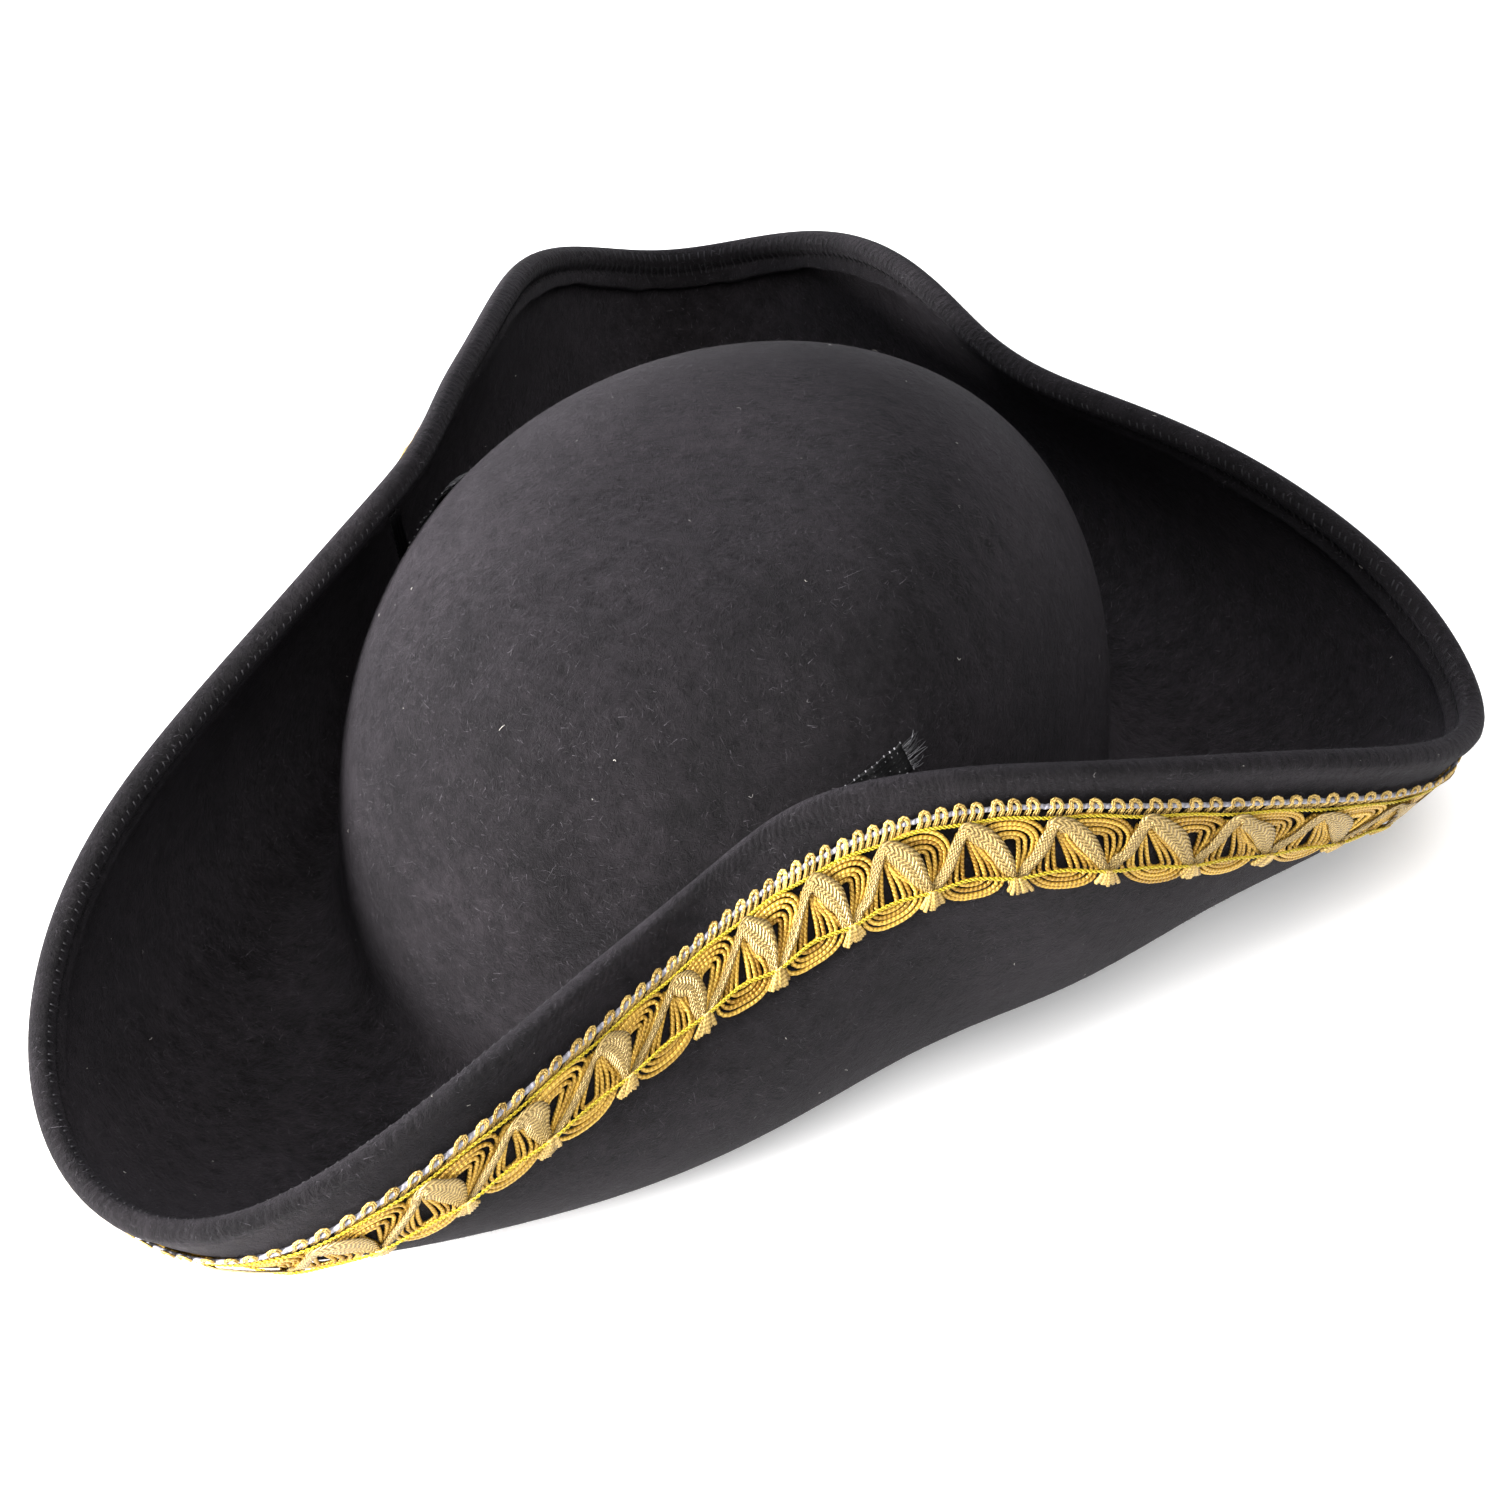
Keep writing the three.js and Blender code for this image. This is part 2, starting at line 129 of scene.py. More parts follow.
def add_camera():
    turn, roll = math.radians(CAMERA_AZIMUTH), math.radians(CAMERA_ROLL)
    back = direction_to(CAMERA_AZIMUTH, CAMERA_ELEVATION)
    level = Vector((math.cos(turn), math.sin(turn), 0))
    upward = back.cross(level)
    right = math.cos(roll) * level + math.sin(roll) * upward
    up = math.cos(roll) * upward - math.sin(roll) * level
    aim = Vector(TO_SOLIDS) + Vector((0, 0, AIM_HEIGHT)) + AIM_ACROSS * right - AIM_DOWN * up
    camera = bpy.data.objects.new("camera", bpy.data.cameras.new("camera"))
    bpy.context.scene.collection.objects.link(camera)
    rotation = Matrix((right, up, back)).transposed().to_4x4()
    camera.matrix_world = Matrix.Translation(aim + CAMERA_DISTANCE * back) @ rotation
    camera.data.sensor_width = CAMERA_SENSOR
    camera.data.lens = CAMERA_LENS
    camera.data.clip_start = CAMERA_CLIP
    bpy.context.scene.camera = camera


# The felt's surfaces, for arrays of places


def section(column, azimuths):
    """A column of SECTIONS at azimuths, by a uniform cubic B-spline round the ring."""
    place = np.mod(azimuths, 360) / 360 * len(SECTIONS)
    row = np.floor(place).astype(int)
    t = place - row
    weights = (
        (1 - t) ** 3 / 6,
        (3 * t**3 - 6 * t**2 + 4) / 6,
        (-3 * t**3 + 3 * t**2 + 3 * t + 1) / 6,
        t**3 / 6,
    )
    values = SECTIONS[:, COLUMNS.index(column)]
    return sum(w * values[(row - 1 + k) % len(SECTIONS)] for k, w in enumerate(weights))


def foot_radius(azimuths):
    across, along = CROWN_WIDTH / 2, CROWN_LENGTH / 2
    angle = np.radians(azimuths)
    return across * along / np.hypot(along * np.cos(angle), across * np.sin(angle))


def polar(radius, azimuths, height):
    angle = np.radians(azimuths)
    return np.stack((radius * np.cos(angle), radius * np.sin(angle), height + 0 * angle), axis=-1)


def crown(azimuths, down):
    """Outer face of the crown, at angles in degrees down from the top."""
    power = 2 / CROWN_SQUARENESS
    angle = np.radians(90 - down)
    radius = foot_radius(azimuths) * np.clip(np.cos(angle), 0, 1) ** power
    return polar(radius, azimuths, CROWN_HEIGHT * np.clip(np.sin(angle), 0, 1) ** power)


def crown_down(height):
    """The angle down from the top at which the crown is at a height."""
    return 90 - np.degrees(np.arcsin((height / CROWN_HEIGHT) ** (CROWN_SQUARENESS / 2)))


def brim_width(azimuths):
    return BRIM_WIDTH * section("width", azimuths)


def brim(azimuths, share):
    """Outer (lower) face of the brim, at shares of its width from the crown's foot."""
    foot = np.radians(section("foot", azimuths))
    rim = np.radians(section("rim", azimuths))
    curl = section("curl", azimuths)
    lean = np.radians(section("lean", azimuths))
    step = share / PROFILE_STEPS
    radius = 0 * foot * step
    height = 0 * foot * step
    for k in range(PROFILE_STEPS):
        reached = (k + 0.5) * step
        slope = foot + (rim - foot) * (1 - (1 - reached) ** curl)
        slope = slope - lean * np.clip((reached - LEAN_FROM) / (1 - LEAN_FROM), 0, 1)
        radius = radius + np.cos(slope) * step
        height = height + np.sin(slope) * step
    width = brim_width(azimuths)
    return polar(foot_radius(azimuths) + radius * width, azimuths, height * width)


def crease(azimuths, share):
    """The soft fillet from the crown's outer face at 0 to the brim's outer face at 1."""
    above = crown(azimuths, crown_down(CREASE_SIZE))
    corner = polar(foot_radius(azimuths), azimuths, 0)
    beyond = brim(azimuths, CREASE_SIZE / brim_width(azimuths))
    s = np.asarray(share)[..., None]
    return (1 - s) ** 2 * above + 2 * s * (1 - s) * corner + s**2 * beyond


def unit(vectors):
    return vectors / np.maximum(np.linalg.norm(vectors, axis=-1, keepdims=True), 1e-12)


def directions(surface, azimuths, value):
    """The felt's own directions: out along the brim, and square to its upper face."""
    nudge = NUDGE_DEGREES if surface is crown else NUDGE_SHARE
    most = 1 if surface is brim else math.inf
    after = surface(azimuths, np.minimum(value + nudge, most))
    before = surface(azimuths, np.maximum(value - nudge, 0))
    outward = unit(after - before)
    around = surface(azimuths + NUDGE_DEGREES, value) - surface(azimuths - NUDGE_DEGREES, value)
    return outward, unit(np.cross(outward, around))


def offset(surface, azimuths, value, distance):
    """Points at a distance above one of these surfaces, or (negative) below it."""
    value = value + 0.0 * azimuths
    _, upper = directions(surface, azimuths, value)
    return surface(azimuths, value) + upper * np.asarray(distance)[..., None]


def from_rim(azimuths, distance_in, distance):
    return offset(brim, azimuths, 1 - distance_in / brim_width(azimuths), distance)


def braid_line(azimuths, across):
    """How far in from the rim a place lies that is this far below the braid's upper edge."""
    return BRAID_DROP * section("drop", azimuths) + across


def count_zigzags():
    """Azimuths round the hat, and the number of the braid's zigzags up to each."""
    azimuths = np.linspace(0, 360, OUTLINE_SAMPLES + 1)
    line = from_rim(azimuths, braid_line(azimuths, BRAID_WIDTH / 2), 0)
    steps = np.linalg.norm(np.diff(line, axis=0), axis=1)
    zigzags = steps / (BRAID_PITCH * section("spread", azimuths[1:]))
    counted = np.concatenate(((0,), np.cumsum(zigzags)))
    whole = round(counted[-1])
    return azimuths, counted * whole / counted[-1], whole


RING_AZIMUTHS, RING_COUNTS, ZIGZAGS = count_zigzags()


def azimuth_at(along):
    """Azimuths at places counted in zigzags of the braid."""
    turns = np.floor(along / ZIGZAGS)
    return np.interp(along - turns * ZIGZAGS, RING_COUNTS, RING_AZIMUTHS) + 360 * turns


def on_braid(along, across, height):
    """Points over the felt's outer face: zigzags round the ring, metres below the braid's upper
    edge, and metres off the felt. Also the outward directions there."""
    azimuths = azimuth_at(along)
    share = 1 - braid_line(azimuths, across) / brim_width(azimuths)
    _, upper = directions(brim, azimuths, share)
    lifted = np.asarray(height) * (1 - LEAN_FLATTENS * section("lean", azimuths))
    return brim(azimuths, share) - upper * lifted[..., None], -upper


# Mesh building


class Pile:
    """Vertices, faces and texture places gathered from many small shapes into one mesh."""

    def __init__(self):
        self.points = []
        self.faces = []
        self.places = []
        self.tones = []
        self.count = 0

    def add(self, points, faces, places, tone=0.5):
        """points (n, 3), faces (m, k) of indices, places (m, k, 2) of texture coordinates."""
        self.points.append(points)
        self.faces.append(np.asarray(faces) + self.count)
        self.places.append(places)
        self.tones.append(np.broadcast_to(tone, (len(points),)))
        self.count += len(points)

    def close(self, rows, columns):
        """Lids on the first and the last ring of the sleeve that was added last."""
        lids = np.stack((np.arange(columns)[::-1], (rows - 1) * columns + np.arange(columns)))
        self.faces.append(lids + self.count - rows * columns)
        self.places.append(np.zeros((2, columns, 2)))

    def build(self, name, material):
        points = np.concatenate(self.points) + TO_SOLIDS
        points[:, 2] = np.maximum(points[:, 2], 0)
        loops = np.concatenate([f.ravel() for f in self.faces])
        sizes = np.concatenate([np.full(len(f), f.shape[1]) for f in self.faces])
        mesh = bpy.data.meshes.new(name)
        mesh.vertices.add(len(points))
        mesh.vertices.foreach_set("co", points.ravel())
        mesh.loops.add(len(loops))
        mesh.loops.foreach_set("vertex_index", loops)
        mesh.polygons.add(len(sizes))
        mesh.polygons.foreach_set("loop_start", np.concatenate(((0,), np.cumsum(sizes)[:-1])))
        mesh.polygons.foreach_set("use_smooth", np.full(len(sizes), True))
        layer = mesh.uv_layers.new(name="thread")
        layer.data.foreach_set("uv", np.concatenate([p.reshape(-1, 2) for p in self.places]).ravel())
        tone = mesh.attributes.new("tone", "FLOAT", "POINT")
        tone.data.foreach_set("value", np.concatenate(self.tones))
        mesh.update(calc_edges=True)
        mesh.validate()
        mesh.materials.append(material)
        piece = bpy.data.objects.new(name, mesh)
        bpy.context.scene.collection.objects.link(piece)
        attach(piece, "root")
        return piece


def sleeve(rows, columns, closed=False):
    """Quads over rows of points that each run round a ring, and each quad's row and column. closed
    joins the last row to the first as well."""
    starts = np.arange(rows if closed else rows - 1)
    row, column = (k.ravel() for k in np.meshgrid(starts, np.arange(columns), indexing="ij"))
    after, beside = (row + 1) % rows, (column + 1) % columns
    quads = np.stack((row * columns + column, row * columns + beside, after * columns + beside,
                      after * columns + column), axis=1)
    return quads, row, column


def sleeve_places(along, around, row, column):
    """Texture places of a sleeve's quads, from where its rows and its columns start and end."""
    return np.stack((
        np.stack((along[row], along[row], along[row + 1], along[row + 1]), axis=1),
        np.stack((around[column], around[column + 1], around[column + 1], around[column]), axis=1),
    ), axis=-1)


def tubes(pile, paths, normals, radius, sides=6, tone=0.5):
    """Adds closed tubes along paths (count, steps, 3), with normals that say which way is out."""
    tangents = unit(np.gradient(paths, axis=1))
    across = unit(np.cross(normals, tangents))
    out = np.cross(tangents, across)
    count, steps = paths.shape[:2]
    radii = np.broadcast_to(np.asarray(radius, float), (count, steps))[..., None, None]
    turn = 2 * np.pi * np.arange(sides) / sides
    rings = paths[:, :, None, :] + radii * (
        np.cos(turn)[:, None] * across[:, :, None, :] + np.sin(turn)[:, None] * out[:, :, None, :])
    lengths = np.linalg.norm(np.diff(paths, axis=1), axis=2)
    travelled = np.concatenate((np.zeros((count, 1)), np.cumsum(lengths, axis=1)), axis=1)
    tones = np.broadcast_to(np.asarray(tone, float), (count,))
    quads, row, column = sleeve(steps, sides)
    around = np.arange(sides + 1) / sides
    for k in range(count):
        places = sleeve_places(travelled[k], around, row, column)
        pile.add(rings[k].reshape(-1, 3), quads, places, tones[k])
        pile.close(steps, sides)


# Materials


class Surface:
    """A procedural material: its nodes and the links between them."""

    def __init__(self, name, color, roughness, metallic=0.0):
        """The plain colour stands where the finer one that is linked over it can't be shown."""
        self.made = bpy.data.materials.new(name)
        self.made.use_nodes = True
        self.nodes = self.made.node_tree.nodes
        self.shader = self.nodes["Principled BSDF"]
        self.shade(Base_Color=(*color, 1), Roughness=roughness, Metallic=metallic)

    def put(self, value, socket):
        """Links another node's output to a socket, or sets the socket to a constant."""
        if isinstance(value, bpy.types.NodeSocket):
            self.made.node_tree.links.new(value, socket)
        else:
            socket.default_value = value

    def fill(self, node, inputs):
        for key, value in inputs.items():
            self.put(value, node.inputs[key.replace("_", " ")])
        return node

    def shade(self, **inputs):
        self.fill(self.shader, inputs)

    def node(self, kind, **inputs):
        return self.fill(self.nodes.new(kind), inputs)

    def math(self, operation, first, second=0.0):
        node = self.nodes.new("ShaderNodeMath")
        node.operation = operation
        self.put(first, node.inputs[0])
        self.put(second, node.inputs[1])
        return node.outputs[0]

    def wave(self, value, pitch):
        return self.math("SINE", self.math("MULTIPLY", value, 2 * math.pi / pitch))

    def noise(self, place, **inputs):
        return self.node("ShaderNodeTexNoise", Vector=place, **inputs).outputs["Fac"]

    def bump(self, height, strength, distance, **before):
        node = self.node("ShaderNodeBump", Height=height, Strength=strength, Distance=distance, **before)
        return node.outputs["Normal"]

    def ramp(self, factor, low, high, start=0.0, end=1.0):
        node = self.node("ShaderNodeValToRGB", Fac=factor)
        for stop, color, position in zip(node.color_ramp.elements, (low, high), (start, end)):
            stop.color = (*color, 1)
            stop.position = position
        return node.outputs["Color"]

    def object_place(self):
        return self.nodes.new("ShaderNodeTexCoord").outputs["Object"]

    def thread_place(self):
        """Places on the thread layer: metres along a thread or round the hat, and the place across."""
        thread = self.nodes.new("ShaderNodeUVMap")
        thread.uv_map = "thread"
        split = self.node("ShaderNodeSeparateXYZ", Vector=thread.outputs["UV"])
        return split.outputs["X"], split.outputs["Y"]

    def own_tone(self):
        """The tone that each small shape was given."""
        tone = self.nodes.new("ShaderNodeAttribute")
        tone.attribute_name = "tone"
        return tone.outputs["Fac"]


STITCH_PITCH = 2.1 * MM
# how far in from the rim its stitches rib the felt
STITCH_LINE = 3.4 * MM
# the turned hem is painted a little darker than the felt that it lies on: painted shade, not a colour of
# its own
HEM_PAINTED_SHADE = -0.22
FELT_DARK = (0.0022, 0.0018, 0.0023)
FELT_LIGHT = (0.0165, 0.0138, 0.0163)
SHEEN_TINT = (0.72, 0.66, 0.76, 1)
TAPE_DARK = (0.17, 0.095, 0.015)
TAPE_LIGHT = (0.76, 0.55, 0.20)
TAPE_ROW_PITCH = 1.25 * MM
RIBBON_DARK = (0.0012, 0.0012, 0.0015)
RIBBON_LIGHT = (0.008, 0.008, 0.009)
RIBBON_RIB_PITCH = 0.45 * MM


def felt_material():
    """Black wool felt: a matted ground of short fibres, ribbed by its stitches along the rim, with
    painted shade over the turned hem.
    """
    felt = Surface("felt", (0.009, 0.008, 0.010), 0.8)
    place = felt.object_place()
    warp = felt.node("ShaderNodeTexNoise", Vector=place, Scale=90, Detail=3)
    bend = felt.node("ShaderNodeMixRGB", Fac=0.012, Color1=place, Color2=warp.outputs["Color"])
    bend.blend_type = "LINEAR_LIGHT"
    fibres = felt.noise(bend.outputs["Color"], Scale=900, Detail=6, Roughness=0.75)
    clumps = felt.noise(place, Scale=260, Detail=4, Roughness=0.6)
    wear = felt.noise(place, Scale=28, Detail=3)
    mixed = felt.math("MULTIPLY", felt.math("MULTIPLY", fibres, clumps), wear)
    round_hat, inward = felt.thread_place()
    on_hem = felt.math("LESS_THAN", inward, 1.02 * HEM_WIDTH)
    # painted shade: the colour is darkened over the turned hem
    painted_hem_shade = felt.math("ADD", felt.math("MULTIPLY", on_hem, HEM_PAINTED_SHADE), 1)
    mixed = felt.math("MULTIPLY", mixed, painted_hem_shade)
    felt.shade(Base_Color=felt.ramp(mixed, FELT_DARK, FELT_LIGHT, 0.06, 0.24))
    felt.shade(Specular_IOR_Level=0.15, Sheen_Weight=0.08, Sheen_Roughness=0.4, Sheen_Tint=SHEEN_TINT)
    stray = felt.math("MULTIPLY", clumps, 2 * STITCH_PITCH)
    ribs = felt.wave(felt.math("ADD", round_hat, stray), STITCH_PITCH)
    ribbed = felt.math("MULTIPLY", ribs, felt.math("LESS_THAN", inward, STITCH_LINE))
    normal = felt.bump(ribbed, 0.28, 0.25 * MM)
    normal = felt.bump(clumps, 0.7, 0.8 * MM, Normal=normal)
    felt.shade(Normal=felt.bump(fibres, 1.0, 0.7 * MM, Normal=normal))
    return felt.made


def yarn_material(name, dark, light, roughness, metallic, twist_pitch):
    """Metallic yarn: strands twisted round the thread, with painted shade between the strands and a tone
    of its own on each cord.
    """
    yarn = Surface(name, light, roughness, metallic)
    along, around = yarn.thread_place()
    along = yarn.math("MULTIPLY", along, 2 * math.pi / twist_pitch)
    around = yarn.math("MULTIPLY", around, 2 * math.pi)
    strands = yarn.math("SINE", yarn.math("ADD", along, around))
    grain = yarn.noise(yarn.object_place(), Scale=2600, Detail=3, Roughness=0.7)
    # painted shade: the colour darkens between the twisted strands
    level = yarn.math("ADD", yarn.math("MULTIPLY", strands, 0.16), yarn.own_tone())
    level = yarn.math("ADD", level, yarn.math("MULTIPLY", grain, 0.8))
    level = yarn.math("SUBTRACT", level, 0.4)
    normal = yarn.bump(strands, 0.7, 0.12 * MM)
    normal = yarn.bump(grain, 0.5, 0.15 * MM, Normal=normal)
    yarn.shade(Base_Color=yarn.ramp(level, dark, light, 0.1, 0.9), Normal=normal)
    return yarn.made


def tape_material():
    """Pale gold woven tape: chevrons of fine yarn across its width, with painted highlights on the
    raised rows, painted shade between them, and a mottle that is partly painted sparkle.
    """
    tape = Surface("gold_tape", (0.72, 0.56, 0.27), 0.4, 0.25)
    along, across = tape.thread_place()
    slant = tape.math("MULTIPLY", tape.math("PINGPONG", across, 0.25), 5 * MM)
    rows = tape.wave(tape.math("ADD", along, slant), TAPE_ROW_PITCH)
    wales = tape.wave(across, 0.125)
    raised = tape.math("ADD", tape.math("MULTIPLY", wales, 0.3), 0.7)
    weave = tape.math("MULTIPLY", rows, raised)
    grain = tape.noise(tape.object_place(), Scale=1700, Detail=4, Roughness=0.75)
    # painted highlights and shade: raised rows lighter, sunken ones darker; the grain's mottle is partly
    # painted sparkle
    level = tape.math("ADD", tape.math("MULTIPLY", weave, 0.28), grain)
    normal = tape.bump(weave, 1.0, 0.3 * MM)
    normal = tape.bump(grain, 0.5, 0.15 * MM, Normal=normal)
    tape.shade(Base_Color=tape.ramp(level, TAPE_DARK, TAPE_LIGHT, 0.2, 0.9), Normal=normal)
    return tape.made


def fibre_material(name, dark, light, roughness):
    """Loose fibres, each with a tone of its own."""
    fibre = Surface(name, dark, roughness)
    fibre.shade(Base_Color=fibre.ramp(fibre.own_tone(), dark, light))
    return fibre.made


def ribbon_material():
    """Black nylon ribbon: fine crosswise ribs with a slight shine."""
    ribbon = Surface("ribbon", RIBBON_LIGHT, 0.38)
    along, across = ribbon.thread_place()
    weave = ribbon.math("MULTIPLY", ribbon.wave(along, RIBBON_RIB_PITCH), ribbon.wave(across, 0.07))
    level = ribbon.math("ADD", ribbon.math("MULTIPLY", weave, 0.5), 0.5)
    ribbon.shade(Specular_IOR_Level=0.2, Base_Color=ribbon.ramp(level, RIBBON_DARK, RIBBON_LIGHT),
                 Normal=ribbon.bump(weave, 0.8, 0.12 * MM))
    return ribbon.made


# The felt

COLUMNS_PER_ZIGZAG = 8
CROWN_RINGS = 40
CREASE_RINGS = 8
BRIM_RINGS = 26
# how much closer the crown's rings lie towards its top
TOP_CROWDING = 1.5
ROLL_ANGLES = range(84, -84, -12)
# how the hem's raw edge wanders: waves round the hat, where they start, and their shares
EDGE_WANDER = 0.35 * MM
EDGE_WAVES = ((23, 0, 1), (61, 1, 0.6), (97, 0, 0.4))
# the turned hem's upper side from its raw edge out to the roll: shares of HEM_WIDTH in from the
# rim, and of HEM_THICKNESS over the felt's upper face
HEM_PROFILE = (
    (1.08, 0.0), (1.035, 0.12), (1.01, 0.6), (0.97, 1.08), (0.9, 1.2), (0.75, 1.05), (0.6, 0.96),
    (0.5, 0.82), (0.42, 0.58), (0.35, 0.86), (0.25, 1.14), (0.13, 1.32),
)
# the run-out of the roll on the outer face: shares of RIM_RADIUS in from the rim and off the face
ROLL_RUNOUT = ((0.35, -0.19), (0.7, -0.1), (1.1, -0.03), (1.5, 0.0))
# the distance in from the rim that is given to felt well clear of the hem
CLEAR_OF_HEM = 1.0
WELD_WITHIN = 0.01 * MM


def roll_point(azimuths, angle, radius=RIM_RADIUS):
    """A point round the rim's rolled fold: 90 faces the crown, 0 outwards, -90 the outer face."""
    edge = np.ones_like(azimuths)
    outward, upper = directions(brim, azimuths, edge)
    middle = brim(azimuths, edge) + upper * (FELT_WALL + HEM_THICKNESS) / 2
    turn = math.radians(angle)
    return middle + radius * (math.cos(turn) * outward + math.sin(turn) * upper)


def felt_rings():
    """Rings of points over the whole felt, from the crown's top out to the rim and back underneath,
    and how far each is in from the rim."""
    along = np.arange(ZIGZAGS * COLUMNS_PER_ZIGZAG) / COLUMNS_PER_ZIGZAG
    azimuths = azimuth_at(along)
    whole = 2 * np.pi * along / ZIGZAGS
    waves = sum(share * np.sin(count * whole + start) for count, start, share in EDGE_WAVES)
    wander = EDGE_WANDER * waves
    width = brim_width(azimuths)
    clear = np.full_like(azimuths, CLEAR_OF_HEM)
    rings = []

    def face(on_crown, on_brim, last):
        """One side of the felt, at distances above its outer face, down to last from the rim."""
        made = []
        for k in range(CROWN_RINGS):
            down = crown_down(CREASE_SIZE) * ((k + 1) / (CROWN_RINGS + 1)) ** TOP_CROWDING
            made.append((offset(crown, azimuths, down, on_crown), clear))
        for k in range(CREASE_RINGS):
            share = k / (CREASE_RINGS - 1)
            level = on_crown + (on_brim - on_crown) * share
            made.append((offset(crease, azimuths, share, level), clear))
        for k in range(1, BRIM_RINGS):
            inward = last + (width - CREASE_SIZE - last) * (1 - k / BRIM_RINGS)
            made.append((from_rim(azimuths, inward, on_brim), inward))
        return made

    rings.extend(face(0, FELT_WALL, HEM_WIDTH * HEM_PROFILE[0][0]))
    for across, height in HEM_PROFILE:
        inward = HEM_WIDTH * across + wander * max(across - 0.5, 0) * 2
        rings.append((from_rim(azimuths, inward, FELT_WALL + HEM_THICKNESS * height), inward))
    for angle in ROLL_ANGLES:
        beyond = np.full_like(azimuths, -RIM_RADIUS * math.cos(math.radians(angle)))
        rings.append((roll_point(azimuths, angle), beyond))
    for across, height in ROLL_RUNOUT:
        inward = np.full_like(azimuths, RIM_RADIUS * across)
        rings.append((from_rim(azimuths, inward, RIM_RADIUS * height), inward))
    rings.extend(reversed(face(-FELT_WALL, 0, RIM_RADIUS * ROLL_RUNOUT[-1][0])))
    points = np.stack([ring for ring, _ in rings])
    inward = np.stack([distance for _, distance in rings])
    return along, points, inward


def add_felt(along, points, inward, felt):
    rows, columns = inward.shape
    pile = Pile()
    quads, row, column = sleeve(rows, columns)
    beside = (column + 1) % columns
    round_hat = np.append(along, ZIGZAGS) * BRAID_PITCH
    starts, ends = round_hat[column], round_hat[column + 1]
    places = np.stack((
        np.stack((starts, starts, ends, ends), axis=1),
        np.stack((inward[row, column], inward[row + 1, column], inward[row + 1, beside],
                  inward[row, beside]), axis=1),
    ), axis=-1)
    pile.add(points.reshape(-1, 3), quads[:, (0, 3, 2, 1)], places)
    top = np.array((0, 0, CROWN_HEIGHT))
    for ring, centre, flip in ((0, top, False), (rows - 1, top - (0, 0, FELT_WALL), True)):
        edge = np.arange(columns)
        fan = np.stack((np.full(columns, columns), edge, (edge + 1) % columns), axis=1)
        if flip:
            fan = fan[:, ::-1]
        places = np.full((columns, 3, 2), CLEAR_OF_HEM)
        pile.add(np.concatenate((points[ring], centre[None])), fan, places)
    shell = pile.build("felt_shell", felt)
    weld = shell.modifiers.new("weld", "WELD")
    weld.merge_threshold = WELD_WITHIN
    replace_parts(shell, "felt_body")


def scattered(points, count):
    """Random places on the rings' quads, evenly by area, with their outward directions."""
    beside = np.roll(points, -1, axis=1)
    a, b, c, d = points[:-1], points[1:], beside[1:], beside[:-1]
    normal = np.cross(c - a, d - b)
    area = np.linalg.norm(normal, axis=-1).ravel()
    chosen = RNG.choice(len(area), count, p=area / area.sum())
    s, t = RNG.random((2, count, 1))
    a, b, c, d = (corner.reshape(-1, 3)[chosen] for corner in (a, b, c, d))
    place = (1 - s) * ((1 - t) * a + t * d) + s * ((1 - t) * b + t * c)
    return place, unit(normal.reshape(-1, 3)[chosen])


NAP_FIBRES = 150000
NAP_LENGTH = 1.1 * MM
NAP_THICKNESS = 0.07 * MM
NAP_VARIES = 0.45
# the lie that the swirls turn from, and how far in radians the hairs stray from it and lift
NAP_LIE = (0.3, 0.2, 0.93)
NAP_STRAYS = 0.9
NAP_LIFTS = 0.28


def add_nap(points, fibre):
    """The felt's loose surface fibres: hairs that lie in swirls and lift a little."""
    place, out = scattered(points, NAP_FIBRES)
    level = unit(np.cross(out, NAP_LIE))
    other = np.cross(out, level)
    swirl = (3 * np.sin(place[:, 0] * 55 + 2 * np.sin(place[:, 2] * 40))
             + 3 * np.sin(place[:, 1] * 48 + 2 * np.sin(place[:, 0] * 37)))
    turn = swirl + RNG.normal(0, NAP_STRAYS, NAP_FIBRES)
    run = np.cos(turn)[:, None] * level + np.sin(turn)[:, None] * other
    lift = np.abs(RNG.normal(0, NAP_LIFTS, NAP_FIBRES))[:, None]
    length = NAP_LENGTH * RNG.lognormal(0, NAP_VARIES, NAP_FIBRES)[:, None]
    tip = place + length * (run * np.cos(lift) + out * np.sin(lift)) + out * 0.05 * MM
    side = np.cross(run, out) * NAP_THICKNESS / 2
    hair = np.stack((place - side, place + side, tip), axis=1).reshape(-1, 3)
    pile = Pile()
    faces = np.arange(3 * NAP_FIBRES).reshape(-1, 3)
    tone = np.repeat(RNG.random(NAP_FIBRES) ** 4, 3)
    pile.add(hair, faces, np.zeros((NAP_FIBRES, 3, 2)), tone)
    pile.build("felt_nap", fibre)


# how far off the felt a loose fibre starts, and how high it arches for its length
LYING_OFF = 0.15 * MM
LYING_ARCH = 0.12


def curl_paths(place, run, out, length, steps, bow):
    """Short bowed paths from places along directions, lifted just off the surface."""
    share = np.linspace(0, 1, steps)[None, :, None]
    side = np.cross(run, out)[:, None, :]
    arc = np.sin(np.pi * share)
    return (place[:, None, :] + run[:, None, :] * share * length[:, None, None]
            + side * arc * (bow * length)[:, None, None]
            + out[:, None, :] * (LYING_OFF + arc * (LYING_ARCH * length)[:, None, None]))


LINT_COUNT = 260
LINT_STEPS = 5


def add_lint(points, fibre):
    """Pale lint and a few longer hairs caught in the felt."""
    place, out = scattered(points, LINT_COUNT)
    run = unit(np.cross(out, RNG.normal(0, 1, (LINT_COUNT, 3))))
    length = MM * RNG.lognormal(-0.55, 0.5, LINT_COUNT)
    paths = curl_paths(place, run, out, length, LINT_STEPS, RNG.normal(0, 0.35, LINT_COUNT))
    radius = MM * RNG.uniform(0.03, 0.065, LINT_COUNT)[:, None]
    pile = Pile()
    upright = np.repeat(out[:, None, :], LINT_STEPS, axis=1)
    tubes(pile, paths, upright, radius, 4, RNG.random(LINT_COUNT) ** 1.5)
    pile.build("felt_lint", fibre)


